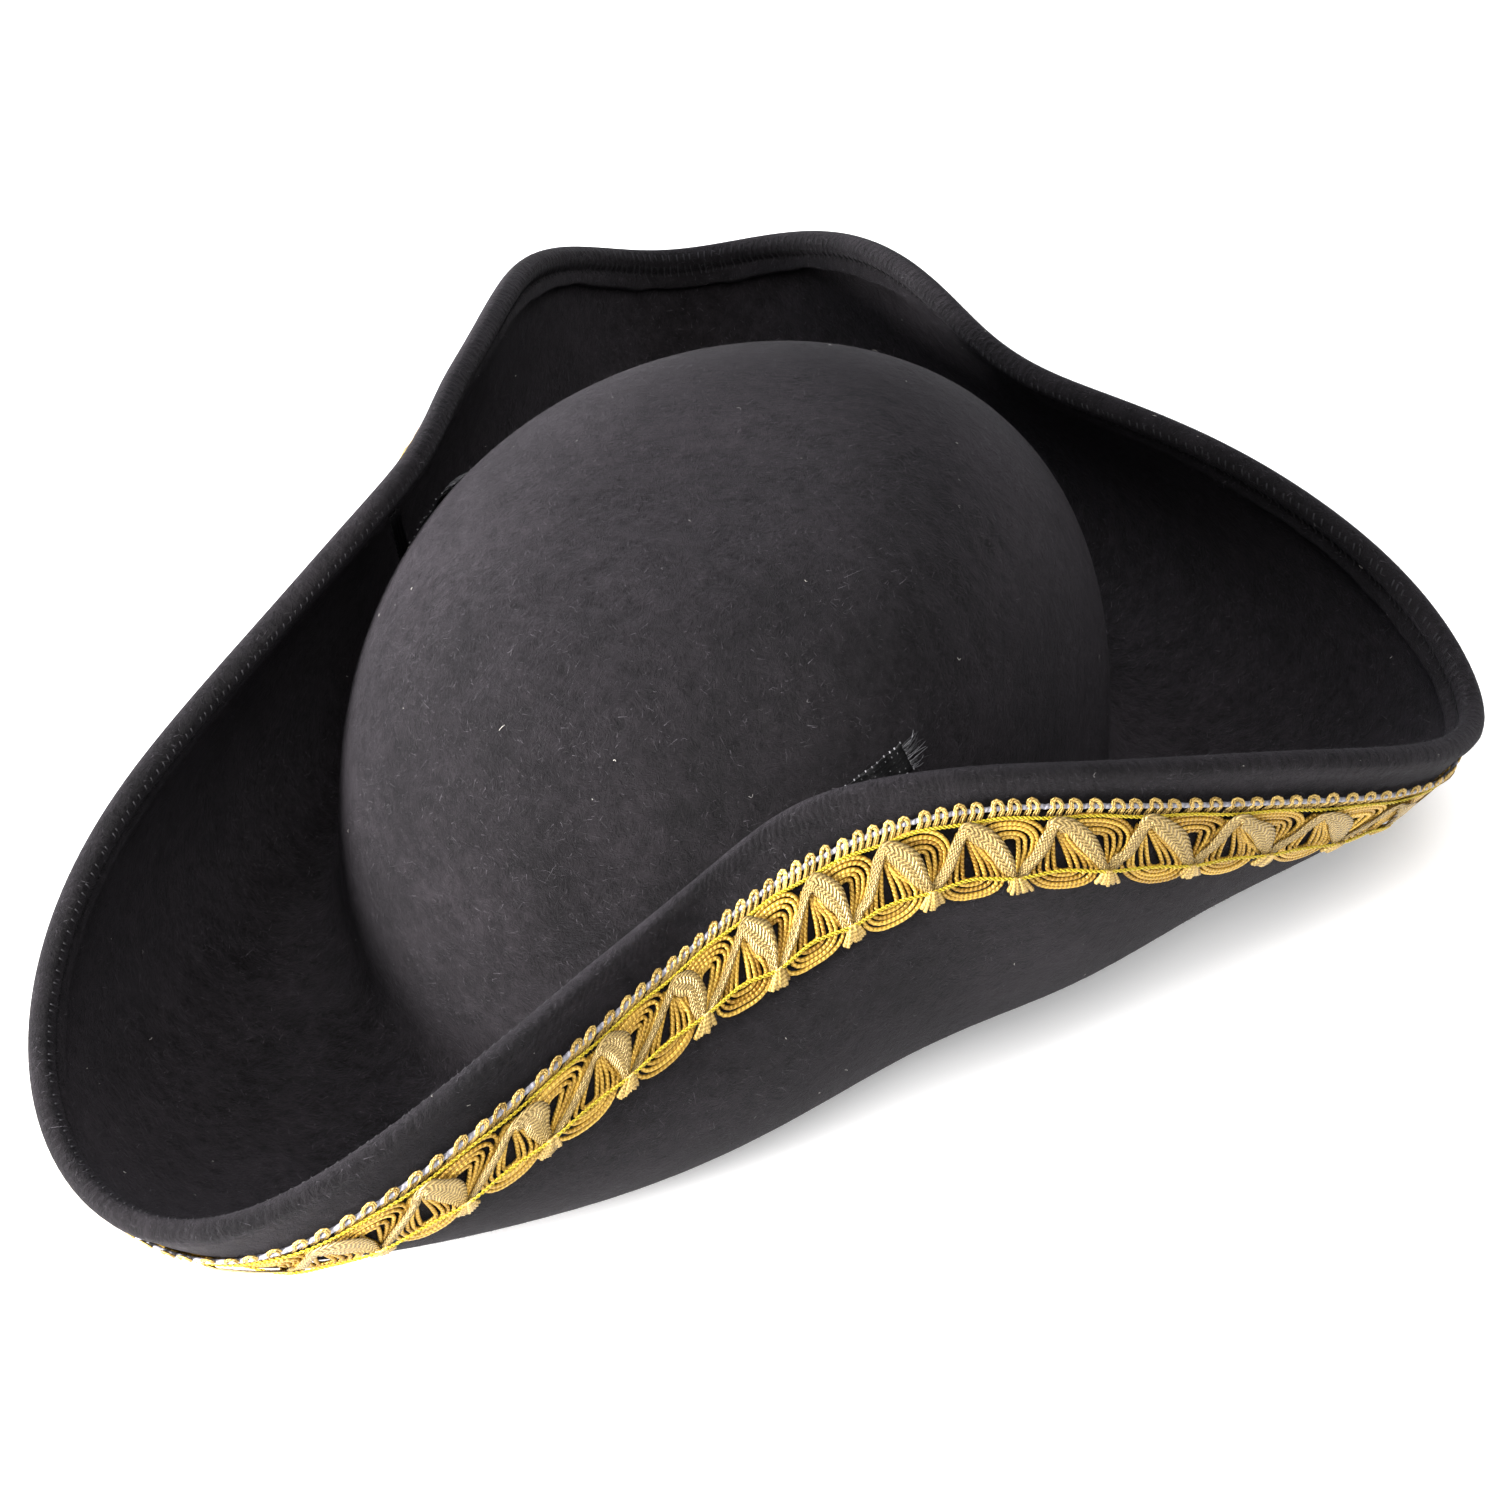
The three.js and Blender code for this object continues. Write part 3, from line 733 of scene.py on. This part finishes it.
STITCH_THREAD = 0.2 * MM
STITCH_SLANT = 0.9 * MM
# a stitch's way over the hem, as in HEM_PROFILE, and then over the roll, by its angles
STITCH_ON_HEM = ((0.52, 0.95), (0.44, 0.72), (0.35, 0.98), (0.22, 1.24))
STITCH_ON_ROLL = (66, 46)


def add_hem_stitches(thread):
    """Black whip stitches that hold the turned hem, one after another over the roll."""
    count = round(ZIGZAGS * BRAID_PITCH / STITCH_PITCH)
    along = ZIGZAGS * (np.arange(count) + RNG.normal(0, 0.12, count)) / count
    slant = STITCH_SLANT / BRAID_PITCH * (1 + RNG.normal(0, 0.25, count))
    on_hem = len(STITCH_ON_HEM)
    whole = on_hem + len(STITCH_ON_ROLL)
    steps = []
    for step, (across, height) in enumerate(STITCH_ON_HEM):
        azimuths = azimuth_at(along + slant * step / whole)
        inward = HEM_WIDTH * across * (1 + RNG.normal(0, 0.02, count))
        steps.append(from_rim(azimuths, inward, FELT_WALL + HEM_THICKNESS * height))
    for step, angle in enumerate(STITCH_ON_ROLL):
        azimuths = azimuth_at(along + slant * (step + on_hem) / whole)
        steps.append(roll_point(azimuths, angle, RIM_RADIUS + 0.05 * MM))
    paths = np.stack(steps, axis=1)
    _, out = directions(brim, azimuth_at(along), np.ones(count))
    upright = np.repeat(out[:, None, :], len(steps), axis=1)
    pile = Pile()
    tubes(pile, paths, upright, STITCH_THREAD, 5, RNG.random(count))
    pile.build("hem_stitches", thread)


# The braid, in millimetres across and off the felt, and in zigzags along it

CORD_RADIUS = 0.54
# half widths of a fan's nested cords, in zigzags, and their spacing at the crown of the arch
FAN_REACHES = (0.385, 0.315, 0.245, 0.17, 0.09)
FAN_NESTING = 1.12
# where a fan's arches spring, where its outermost crown lies, and where its legs run together
UPPER_FAN = (10.6, 4.9, 20.0)
LOWER_FAN = (18.2, 23.7, 7.4)
FAN_ARC = np.radians(np.linspace(180, 0, 13))
PICOTS_PER_ZIGZAG = 4.7
PICOT_STRAND = 0.23
PICOT_SPACING = 0.37
HEADER_AT = 2.1
UPPER_CHAIN_AT = 4.7
LOWER_CHAIN_AT = 18.9
CHAIN_LINKS = 9
CHAIN_STRAND = 0.21
CHAIN_SWAY = 0.3
CHAIN_ROLL = 0.22
# where each chain lies and how high, and how far it moves across and off the felt in a zigzag
CHAINS = ((UPPER_CHAIN_AT, 1.7, -0.25, 0), (LOWER_CHAIN_AT, 2.5, 0.25, 0.3))
HEADER_RADIUS = 0.6
HEADER_HEIGHT = 1.3
HEADER_RIPPLE = 0.12
# one picot, foot to foot over the header cord: pitches along, mm across, mm off
PICOT_PATH = np.array((
    (-0.52, 5.2, 0.7), (-0.42, 4.1, 0.95), (-0.31, 3.1, 1.4), (-0.245, 2.2, 1.75),
    (-0.235, 1.5, 1.6), (-0.17, 0.8, 1.35), (0.0, 0.45, 1.25), (0.17, 0.8, 1.35),
    (0.235, 1.5, 1.6), (0.22, 2.2, 1.75), (0.14, 3.1, 1.4), (0.04, 4.1, 0.95), (-0.05, 5.2, 0.7),
))
# how each half zigzag is pulled along the hat, and up or down, where it was sewn: the pulls, how
# far the strongest go in zigzags and in mm, and the mm below the heading over which they set in
UNEVENNESS = RNG.normal(0, 1, (2, 2 * ZIGZAGS))
UNEVEN_ALONG = 0.028
UNEVEN_ACROSS = 0.45
UNEVEN_OVER = 14


def braid_paths(along, across, height):
    """Places on the braid and their outward directions, below the heading a little uneven."""
    halves = np.arange(2 * ZIGZAGS) / 2
    drift, sag = (np.interp(along, halves, pull, period=ZIGZAGS) for pull in UNEVENNESS)
    free = np.clip((across - UPPER_CHAIN_AT) / UNEVEN_OVER, 0, 1)
    along = along + UNEVEN_ALONG * drift * free
    return on_braid(along, (across + UNEVEN_ACROSS * sag * free) * MM, height * MM)


def add_fans(yarn):
    """Nested cords of purl: arches under the heading, and hanging loops along the lower edge, each
    with legs that run together where the tape folds."""
    pile = Pile()
    for half, (spring, crest, foot) in ((0.0, UPPER_FAN), (0.5, LOWER_FAN)):
        centres = np.arange(ZIGZAGS)[:, None] + half
        down = np.sign(crest - spring)
        tilt = RNG.normal(0, 0.03, (ZIGZAGS, 1))
        for cord, reach in enumerate(FAN_REACHES):
            rise = crest - down * FAN_NESTING * cord - spring
            slack = np.abs(RNG.normal(0, 0.35 if cord == 0 else 0.1, (ZIGZAGS, 1)))
            arch = np.sin(FAN_ARC) ** 0.8
            side = np.sign(np.cos(FAN_ARC)) * np.abs(np.cos(FAN_ARC)) ** 0.85
            x = reach * np.concatenate(((-0.16, -0.5, -0.86), side, (0.86, 0.5, 0.16)))
            legs = np.array((foot, 0.62 * foot + 0.38 * spring, 0.27 * foot + 0.73 * spring))
            y = np.concatenate((legs, spring + rise * arch, legs[::-1]))
            loose = np.concatenate(((0, 0, 0), arch, (0, 0, 0)))
            bulge = np.concatenate(((0.1, 0.15, 0.2), 0.25 + 0.25 * arch, (0.2, 0.15, 0.1)))
            stretch = 1 + RNG.normal(0, 0.035, (ZIGZAGS, 1))
            along = centres + tilt * np.abs(y - foot) / 10 + x * stretch
            across = y + 0.6 * down * slack * loose + RNG.normal(0, 0.1, (ZIGZAGS, 1))
            height = 0.7 + bulge + 0.14 * (cord % 2) + RNG.normal(0, 0.05, (ZIGZAGS, 1))
            points, out = braid_paths(along, across, height)
            tone = np.clip(RNG.normal(0.56, 0.13, ZIGZAGS) - 0.03 * cord, 0, 1)
            tubes(pile, points, out, CORD_RADIUS * MM, 6, tone)
    pile.build("braid_fans", yarn)


# centreline of the folded tape from one valley to the next: zigzags, mm across, mm wide, mm off
TAPE_PATH = np.array((
    (-0.03, 20.5, 2.5, 2.4), (0.0, 21.4, 2.7, 2.6), (0.03, 20.5, 2.5, 2.5), (0.06, 19.0, 2.4, 2.0),
    (0.13, 17.1, 2.7, 2.0), (0.24, 14.5, 2.9, 2.2), (0.355, 11.5, 2.9, 2.1), (0.44, 8.6, 2.9, 2.0),
    (0.49, 6.7, 3.1, 2.5), (0.56, 6.2, 3.9, 2.9), (0.68, 7.7, 5.1, 2.8), (0.80, 10.7, 5.6, 2.7),
    (0.89, 14.5, 4.6, 2.5), (0.945, 18.3, 2.7, 2.3),
))
TAPE_STEPS = 4
# how far each of those strays, with the width's as a share of it, and how far whole zigzags stray
TAPE_STRAYS = (0.008, 0.3, 0.1, 0.12)
TAPE_SWAY = 0.3
# the tape's section: half widths across, and mm off; it bulges above and is flat underneath
TAPE_SECTION = [(side, 0.24 * (1 - side**2)) for side in np.linspace(-1, 1, 7)]
TAPE_SECTION += [(0.6, -0.3), (-0.6, -0.3)]
# the flared knots under the tape's lower folds
KNOT_STRANDS = 9
KNOT_STARTS = 18.8
KNOT_ENDS = 23.3


def smooth_closed(values, steps):
    """Catmull-Rom curve through rows of a closed list, with steps between neighbours."""
    before, after, beyond = (np.roll(values, k, axis=0) for k in (1, -1, -2))
    rows = []
    for k in range(steps):
        t = k / steps
        rows.append(0.5 * (2 * values + (after - before) * t
                           + (2 * before - 5 * values + 4 * after - beyond) * t**2
                           + (3 * values - before - 3 * after + beyond) * t**3))
    return np.stack(rows, axis=1).reshape(-1, values.shape[1])


def add_tape(tape):
    """The flat tape: one long woven strip folded to and fro between the fans."""
    count = len(TAPE_PATH)
    sway = np.repeat(RNG.normal(0, 1, (ZIGZAGS, 1)), count, axis=1)
    shape = np.tile(TAPE_PATH[None], (ZIGZAGS, 1, 1))
    shape[:, :, 1] += TAPE_STRAYS[1] * RNG.normal(0, 1, (ZIGZAGS, count)) + TAPE_SWAY * sway
    shape[:, :, 2] *= 1 + TAPE_STRAYS[2] * RNG.normal(0, 1, (ZIGZAGS, count))
    shape[:, :, 3] += TAPE_STRAYS[3] * RNG.normal(0, 1, (ZIGZAGS, count))
    drift = shape[:, :, 0] + TAPE_STRAYS[0] * RNG.normal(0, 1, (ZIGZAGS, count))
    shape[:, :, 0] = drift + np.arange(ZIGZAGS)[:, None]
    line = shape.reshape(-1, 4)
    # smoothed without its steady way round the ring, so that the ring closes smoothly too
    line[:, 0] -= np.arange(len(line)) * ZIGZAGS / len(line)
    fine = smooth_closed(line, TAPE_STEPS)
    fine[:, 0] += np.arange(len(fine)) * ZIGZAGS / len(fine)
    along, across, width, height = fine.T
    zigzag = BRAID_PITCH / MM
    flat = np.stack((along * zigzag, across), axis=1)
    step = np.roll(flat, -1, axis=0) - np.roll(flat, 1, axis=0)
    step[0, 0] += ZIGZAGS * zigzag
    step[-1, 0] += ZIGZAGS * zigzag
    side = np.stack((-step[:, 1], step[:, 0]), axis=1)
    side /= np.linalg.norm(side, axis=1, keepdims=True)
    travelled = np.concatenate(((0,), np.cumsum(np.linalg.norm(np.diff(flat, axis=0), axis=1))))
    edges = []
    for sideways, level in TAPE_SECTION:
        spot = flat + side * (sideways * width / 2)[:, None]
        edge, _ = braid_paths(spot[:, 0] / zigzag, spot[:, 1], height + level)
        edges.append(edge)
    points = np.stack(edges, axis=1)
    rows, columns = points.shape[:2]
    quads, row, column = sleeve(rows, columns, closed=True)
    sides = np.array([(sideways + 1) / 2 for sideways, _ in TAPE_SECTION])
    ends = np.append(travelled, travelled[-1] + 1) * MM
    pile = Pile()
    places = sleeve_places(ends, np.append(sides, sides[0]), row, column)
    pile.add(points.reshape(-1, 3), quads, places)
    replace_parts(pile.build("braid_tape", tape), "gold_braid")


def add_knots(yarn):
    """The flared ends under the tape's lower folds: short strands fanned out from the pinch."""
    pile = Pile()
    centres = np.arange(ZIGZAGS)[:, None]
    tilt = RNG.normal(0, 0.012, (ZIGZAGS, 1))
    share = np.linspace(0, 1, 6)
    for strand in np.linspace(-1, 1, KNOT_STRANDS):
        end = KNOT_ENDS - 0.5 * abs(strand) + RNG.normal(0, 0.3, (ZIGZAGS, 1))
        across = KNOT_STARTS + (end - KNOT_STARTS) * share
        along = centres + (strand * (0.05 + 0.08 * share**1.2) + tilt * share)
        height = 2.95 - 0.9 * share**2 - 0.35 * abs(strand) + RNG.normal(0, 0.06, (ZIGZAGS, 1))
        points, out = braid_paths(along, across, height)
        radius = (0.4 + 0.16 * share) * MM
        tubes(pile, points, out, radius, 5, np.clip(RNG.normal(0.55, 0.14, ZIGZAGS), 0, 1))
    pile.build("braid_knots", yarn)


def ring_tube(pile, along, across, height, radius, sides):
    """A closed cord round the whole hat."""
    points, out = braid_paths(along, across, height)
    tangent = unit(np.roll(points, -1, axis=0) - np.roll(points, 1, axis=0))
    beside = unit(np.cross(out, tangent))
    turn = 2 * np.pi * np.arange(sides) / sides
    rings = points[:, None, :] + radius * MM * (
        np.cos(turn)[:, None] * beside[:, None, :] + np.sin(turn)[:, None] * out[:, None, :])
    rows = len(points)
    travelled = np.arange(rows + 1) * ZIGZAGS * BRAID_PITCH / rows
    quads, row, column = sleeve(rows, sides, closed=True)
    places = sleeve_places(travelled, np.arange(sides + 1) / sides, row, column)
    pile.add(rings.reshape(-1, 3), quads, places)


def add_heading(yarn, cord):
    """Picot loops over a pale header cord, with legs down to the upper chain."""
    count = round(PICOTS_PER_ZIGZAG * ZIGZAGS)
    centres = ZIGZAGS * np.arange(count) / count
    pitch = ZIGZAGS / count
    flat = PICOT_PATH[:, :2] * (pitch * BRAID_PITCH / MM, 1)
    run = unit(np.gradient(flat, axis=0))
    aside = np.stack((-run[:, 1], run[:, 0]), axis=1)
    picots = Pile()
    sway = RNG.normal(0, 0.07, (count, 1))
    reach = RNG.normal(0, 0.22, (count, 1)) * np.clip(1 - PICOT_PATH[:, 1] / 2, 0, 1)
    for strand in (-1, 0, 1):
        spot = flat + aside * strand * (PICOT_SPACING + 0.06 * np.maximum(flat[:, 1:] - HEADER_AT, 0))
        along = centres[:, None] + spot[:, 0] * MM / BRAID_PITCH + pitch * sway
        height = PICOT_PATH[:, 2] + 0.16 * (strand == 0) + RNG.normal(0, 0.04, (count, 1))
        points, out = braid_paths(along, spot[:, 1] - reach, height)
        tone = np.clip(RNG.normal(0.55, 0.16, count), 0, 1)
        tubes(picots, points, out, PICOT_STRAND * MM, 5, tone)
    picots.build("braid_picots", yarn)
    header = Pile()
    steps = ZIGZAGS * 24
    along = ZIGZAGS * np.arange(steps) / steps
    ripple = HEADER_RIPPLE * np.sin(2 * np.pi * along * PICOTS_PER_ZIGZAG * 2)
    ring_tube(header, along, HEADER_AT + ripple, np.full(steps, HEADER_HEIGHT), HEADER_RADIUS, 7)
    header.build("braid_header_cord", cord)


def add_chains(thread):
    """Two lines of bright chain stitch that bind the braid together."""
    pile = Pile()
    steps = ZIGZAGS * CHAIN_LINKS * 5
    along = ZIGZAGS * np.arange(steps) / steps
    phase = 2 * np.pi * along * CHAIN_LINKS
    swing = np.cos(2 * np.pi * along)
    for at, level, dip, rise in CHAINS:
        for turn in (0, np.pi):
            across = at + CHAIN_SWAY * np.sin(phase + turn) + dip * swing
            height = level + CHAIN_ROLL * np.cos(phase + turn) + rise * swing
            ring_tube(pile, along, across, height, CHAIN_STRAND, 5)
    pile.build("braid_chain_stitches", thread)


# The ribbon tacks

RIBBON_THICKNESS = 0.35 * MM
RIBBON_ROOT_WIDTH = 3.6 * MM
RIBBON_END_WIDTH = 6.8 * MM
RIBBON_OFF = 0.75 * MM
# how far the ribbon waves along the crown, sags in the gap and is gathered into ripples
RIBBON_WAVE = 0.5 * MM
RIBBON_SAG = 1.2 * MM
RIBBON_GATHER = 0.28 * MM
# rows of points in the gap and along the crown, and how far apart they count as in the weave
GAP_ROWS = 6
LYING_ROWS = 34
ROW_PITCH = 0.8 * MM
FRAY_THREADS = 44
FRAY_RADIUS = 0.055 * MM
FRAY_STEPS = 8
# the ribbon's pale dots, painted glints of light on its weave: their lines across it, their first row,
# and the rows to the next
GLINT_LINES = (-1, -0.6, -0.2, 0.2, 0.6, 1)
GLINT_FROM = 8
GLINT_EVERY = 3
GLINT_LENGTH = 0.45 * MM
GLINT_STEPS = 4
# flap azimuth, then azimuth and share of CROWN_HEIGHT where it meets the crown and where it ends
TACKS = {
    "tack_ribbon_left": (329, 331, 0.70, 346, 0.725),
    "tack_ribbon_right": (209, 205, 0.56, 197, 0.70),
}


def ribbon_line(name):
    """A ribbon's centreline from the hem across the gap and over the crown, with its outward and
    lengthwise directions."""
    flap, start, low, end, high = TACKS[name]
    share = np.linspace(0, 1, LYING_ROWS)
    azimuths = start + (end - start) * share
    down = crown_down(CROWN_HEIGHT * (low + (high - low) * share))
    _, crown_out = directions(crown, azimuths, down)
    off = RIBBON_OFF + RIBBON_WAVE * np.sin(share * 9)[:, None] ** 2
    lying = crown(azimuths, down) + crown_out * off
    flap_at = np.full(1, float(flap))
    level = FELT_WALL + HEM_THICKNESS + RIBBON_OFF
    root = from_rim(flap_at, HEM_WIDTH * np.full(1, 0.55), level)
    gap = root + (lying[:1] - root) * np.linspace(0, 1, GAP_ROWS + 1)[:-1, None]
    gap[:, 2] -= (np.sin(np.linspace(0, math.pi, GAP_ROWS + 1)) * RIBBON_SAG)[:-1]
    line = np.concatenate((gap, lying))
    root_out = -directions(brim, flap_at, np.ones(1))[1]
    blend = np.linspace(0, 1, GAP_ROWS)[:, None]
    out = unit(np.concatenate(((1 - blend) * root_out + blend * crown_out[:1], crown_out)))
    return line, out, unit(np.gradient(line, axis=0))


def add_tack(name, ribbon, threads_and_glints):
    """A gathered ribbon from the hem across the gap, lying on the crown, with a frayed end and pale dots
    painted as glints.
    """
    line, out, tangent = ribbon_line(name)
    side = unit(np.cross(out, tangent))
    rows = len(line)
    width = np.linspace(RIBBON_ROOT_WIDTH, RIBBON_END_WIDTH, rows)
    sides = np.linspace(-1, 1, 11)
    ripple = RIBBON_GATHER * np.sin(3.2 * np.pi * sides[None] + 0.35 * np.arange(rows)[:, None])
    ripple = ripple * np.linspace(1, 0.35, rows)[:, None]
    sideways = side[:, None] * (sides * width[:, None] / 2)[..., None]
    top = line[:, None] + sideways + out[:, None] * ripple[..., None]
    under = (top - out[:, None] * RIBBON_THICKNESS)[:, ::-1]
    loops = np.concatenate((top, under), axis=1)
    columns = loops.shape[1]
    quads, row, column = sleeve(rows, columns)
    across = np.concatenate((sides, sides[::-1])) / 2 + 0.5
    pile = Pile()
    places = sleeve_places(np.arange(rows) * ROW_PITCH, np.append(across, across[0]), row, column)
    pile.add(loops.reshape(-1, 3), quads, places)
    pile.close(rows, columns)
    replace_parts(pile.build(name + "_strip", ribbon), name)

    fray_and_glints = Pile()
    add_loose_ends(fray_and_glints, line[-2], tangent[-1], side[-2:], out[-1], width[-1])
    add_painted_glints(fray_and_glints, line, tangent, side, out, width)
    fray_and_glints.build(name + "_fray_and_glints", threads_and_glints)


def add_loose_ends(pile, base, onward, side, out, width):
    """Threads that have come loose at a ribbon's cut end."""
    spot = RNG.uniform(-1, 1, FRAY_THREADS)
    starts = base + side[0] * (spot * width / 2)[:, None]
    fan = spot * 0.16 + RNG.normal(0, 0.09, FRAY_THREADS)
    run = np.cos(fan)[:, None] * onward + np.sin(fan)[:, None] * side[1]
    upright = np.tile(out, (FRAY_THREADS, 1))
    length = MM * RNG.uniform(2, 7, FRAY_THREADS)
    bow = RNG.normal(0, 0.07, FRAY_THREADS)
    paths = curl_paths(starts, run, upright, length, FRAY_STEPS, bow)
    upright = np.repeat(upright[:, None], FRAY_STEPS, axis=1)
    tubes(pile, paths, upright, FRAY_RADIUS, 4, RNG.random(FRAY_THREADS) ** 2)


def add_painted_glints(pile, line, tangent, side, out, width):
    """Pale dots in lines along a ribbon, largest along its two edges: painted glints of light on its
    weave.
    """
    rows = np.arange(GLINT_FROM, len(line), GLINT_EVERY)
    count = len(rows)
    lengths = np.full(count, GLINT_LENGTH)
    upright = np.repeat(out[rows][:, None], GLINT_STEPS, axis=1)
    for edge in GLINT_LINES:
        place = line[rows] + side[rows] * (edge * width[rows] / 2)[:, None] + out[rows] * 0.1 * MM
        place = place + tangent[rows] * RNG.normal(0, 0.2 * MM, (count, 1))
        dots = curl_paths(place, side[rows] * edge, out[rows], lengths, GLINT_STEPS, np.zeros(count))
        selvedge = abs(edge) == 1
        # painted glints: pale tones, the brightest along the ribbon's two edges
        tone = RNG.uniform(0.3, 1, count) if selvedge else RNG.random(count) ** 2
        tubes(pile, dots, upright, (0.17 if selvedge else 0.1) * MM, 5, tone)


# The floor and the light

FLOOR_REACH = 12.0
FLOOR_GLOW = 0.34
WORLD_LIGHT = 0.34
WARM = (1.0, 0.98, 0.97)
# azimuth and elevation of each lamp, its distance, size, power and color
LAMPS = {
    "key": (-18, 12, 2.2, 0.7, 228, WARM),
    "left": (-85, 40, 1.7, 0.9, 13, (0.80, 0.87, 1.0)),
    "front": (55, 66, 1.8, 1.0, 24, WARM),
    "top": (225, 62, 1.8, 1.0, 7, WARM),
}


def add_floor():
    """A wide pale floor that glows a little, so that it stays white behind the hat."""
    floor_mesh = bpy.data.meshes.new("floor")
    corners = [(x * FLOOR_REACH, y * FLOOR_REACH, 0) for x, y in ((-1, -1), (1, -1), (1, 1), (-1, 1))]
    floor_mesh.from_pydata(corners, [], [(0, 1, 2, 3)])
    pale = Surface("studio_floor", (0.86, 0.86, 0.86), 0.75)
    grain = pale.noise(pale.object_place(), Scale=6, Detail=3)
    pale.shade(Base_Color=pale.ramp(grain, (0.90, 0.90, 0.90), (0.93, 0.93, 0.93)))
    pale.shade(Emission_Color=(1, 1, 1, 1), Emission_Strength=FLOOR_GLOW)
    floor_mesh.materials.append(pale.made)
    floor = bpy.data.objects.new("floor", floor_mesh)
    bpy.context.scene.collection.objects.link(floor)


def add_light():
    """Soft daylight all round, and four large lamps that face the hat."""
    bpy.context.scene.view_settings.view_transform = "Standard"
    world = bpy.data.worlds.new("studio")
    bpy.context.scene.world = world
    world.use_nodes = True
    background = world.node_tree.nodes["Background"]
    background.inputs["Color"].default_value = (0.97, 0.98, 1.0, 1)
    background.inputs["Strength"].default_value = WORLD_LIGHT
    aim = Vector(TO_SOLIDS) + Vector((0, 0, AIM_HEIGHT))
    for name, (azimuth, elevation, distance, size, power, color) in LAMPS.items():
        lamp = bpy.data.lights.new(name, "AREA")
        lamp.size = size
        lamp.energy = power
        lamp.color = color
        held = bpy.data.objects.new(name, lamp)
        bpy.context.scene.collection.objects.link(held)
        away = direction_to(azimuth, elevation)
        held.location = aim + distance * away
        held.rotation_euler = away.to_track_quat("Z", "Y").to_euler()


add_camera()
add_floor()
add_light()
ring_along, ring_points, ring_inward = felt_rings()
add_felt(ring_along, ring_points, ring_inward, felt_material())
add_nap(ring_points, fibre_material("nap", (0.004, 0.0035, 0.004), (0.115, 0.105, 0.12), 0.8))
add_lint(ring_points, fibre_material("lint", (0.10, 0.095, 0.10), (0.75, 0.72, 0.66), 0.8))
add_hem_stitches(fibre_material("hem_thread", (0.005, 0.005, 0.006), (0.016, 0.015, 0.018), 0.85))
gold_yarn = yarn_material("gold_yarn", (0.24, 0.112, 0.005), (0.82, 0.53, 0.09), 0.34, 0.4, 1.1 * MM)
pale_yarn = yarn_material("pale_yarn", (0.19, 0.105, 0.012), (0.76, 0.53, 0.16), 0.38, 0.3, 1.0 * MM)
white_cord = yarn_material("white_cord", (0.12, 0.12, 0.14), (0.46, 0.45, 0.50), 0.6, 0.1, 1.3 * MM)
bright_thread = yarn_material("bright_thread", (0.36, 0.25, 0.0), (0.80, 0.63, 0.03), 0.5, 0.0, 0.9 * MM)
add_fans(gold_yarn)
add_tape(tape_material())
add_knots(pale_yarn)
add_heading(pale_yarn, white_cord)
add_chains(bright_thread)
ribbon_made = ribbon_material()
# the ribbon's frayed ends and its painted glints share this material
fray_and_glints_made = fibre_material("fray_and_glints", (0.008, 0.008, 0.009), (0.30, 0.30, 0.32), 0.3)
for tack_name in TACKS:
    add_tack(tack_name, ribbon_made, fray_and_glints_made)
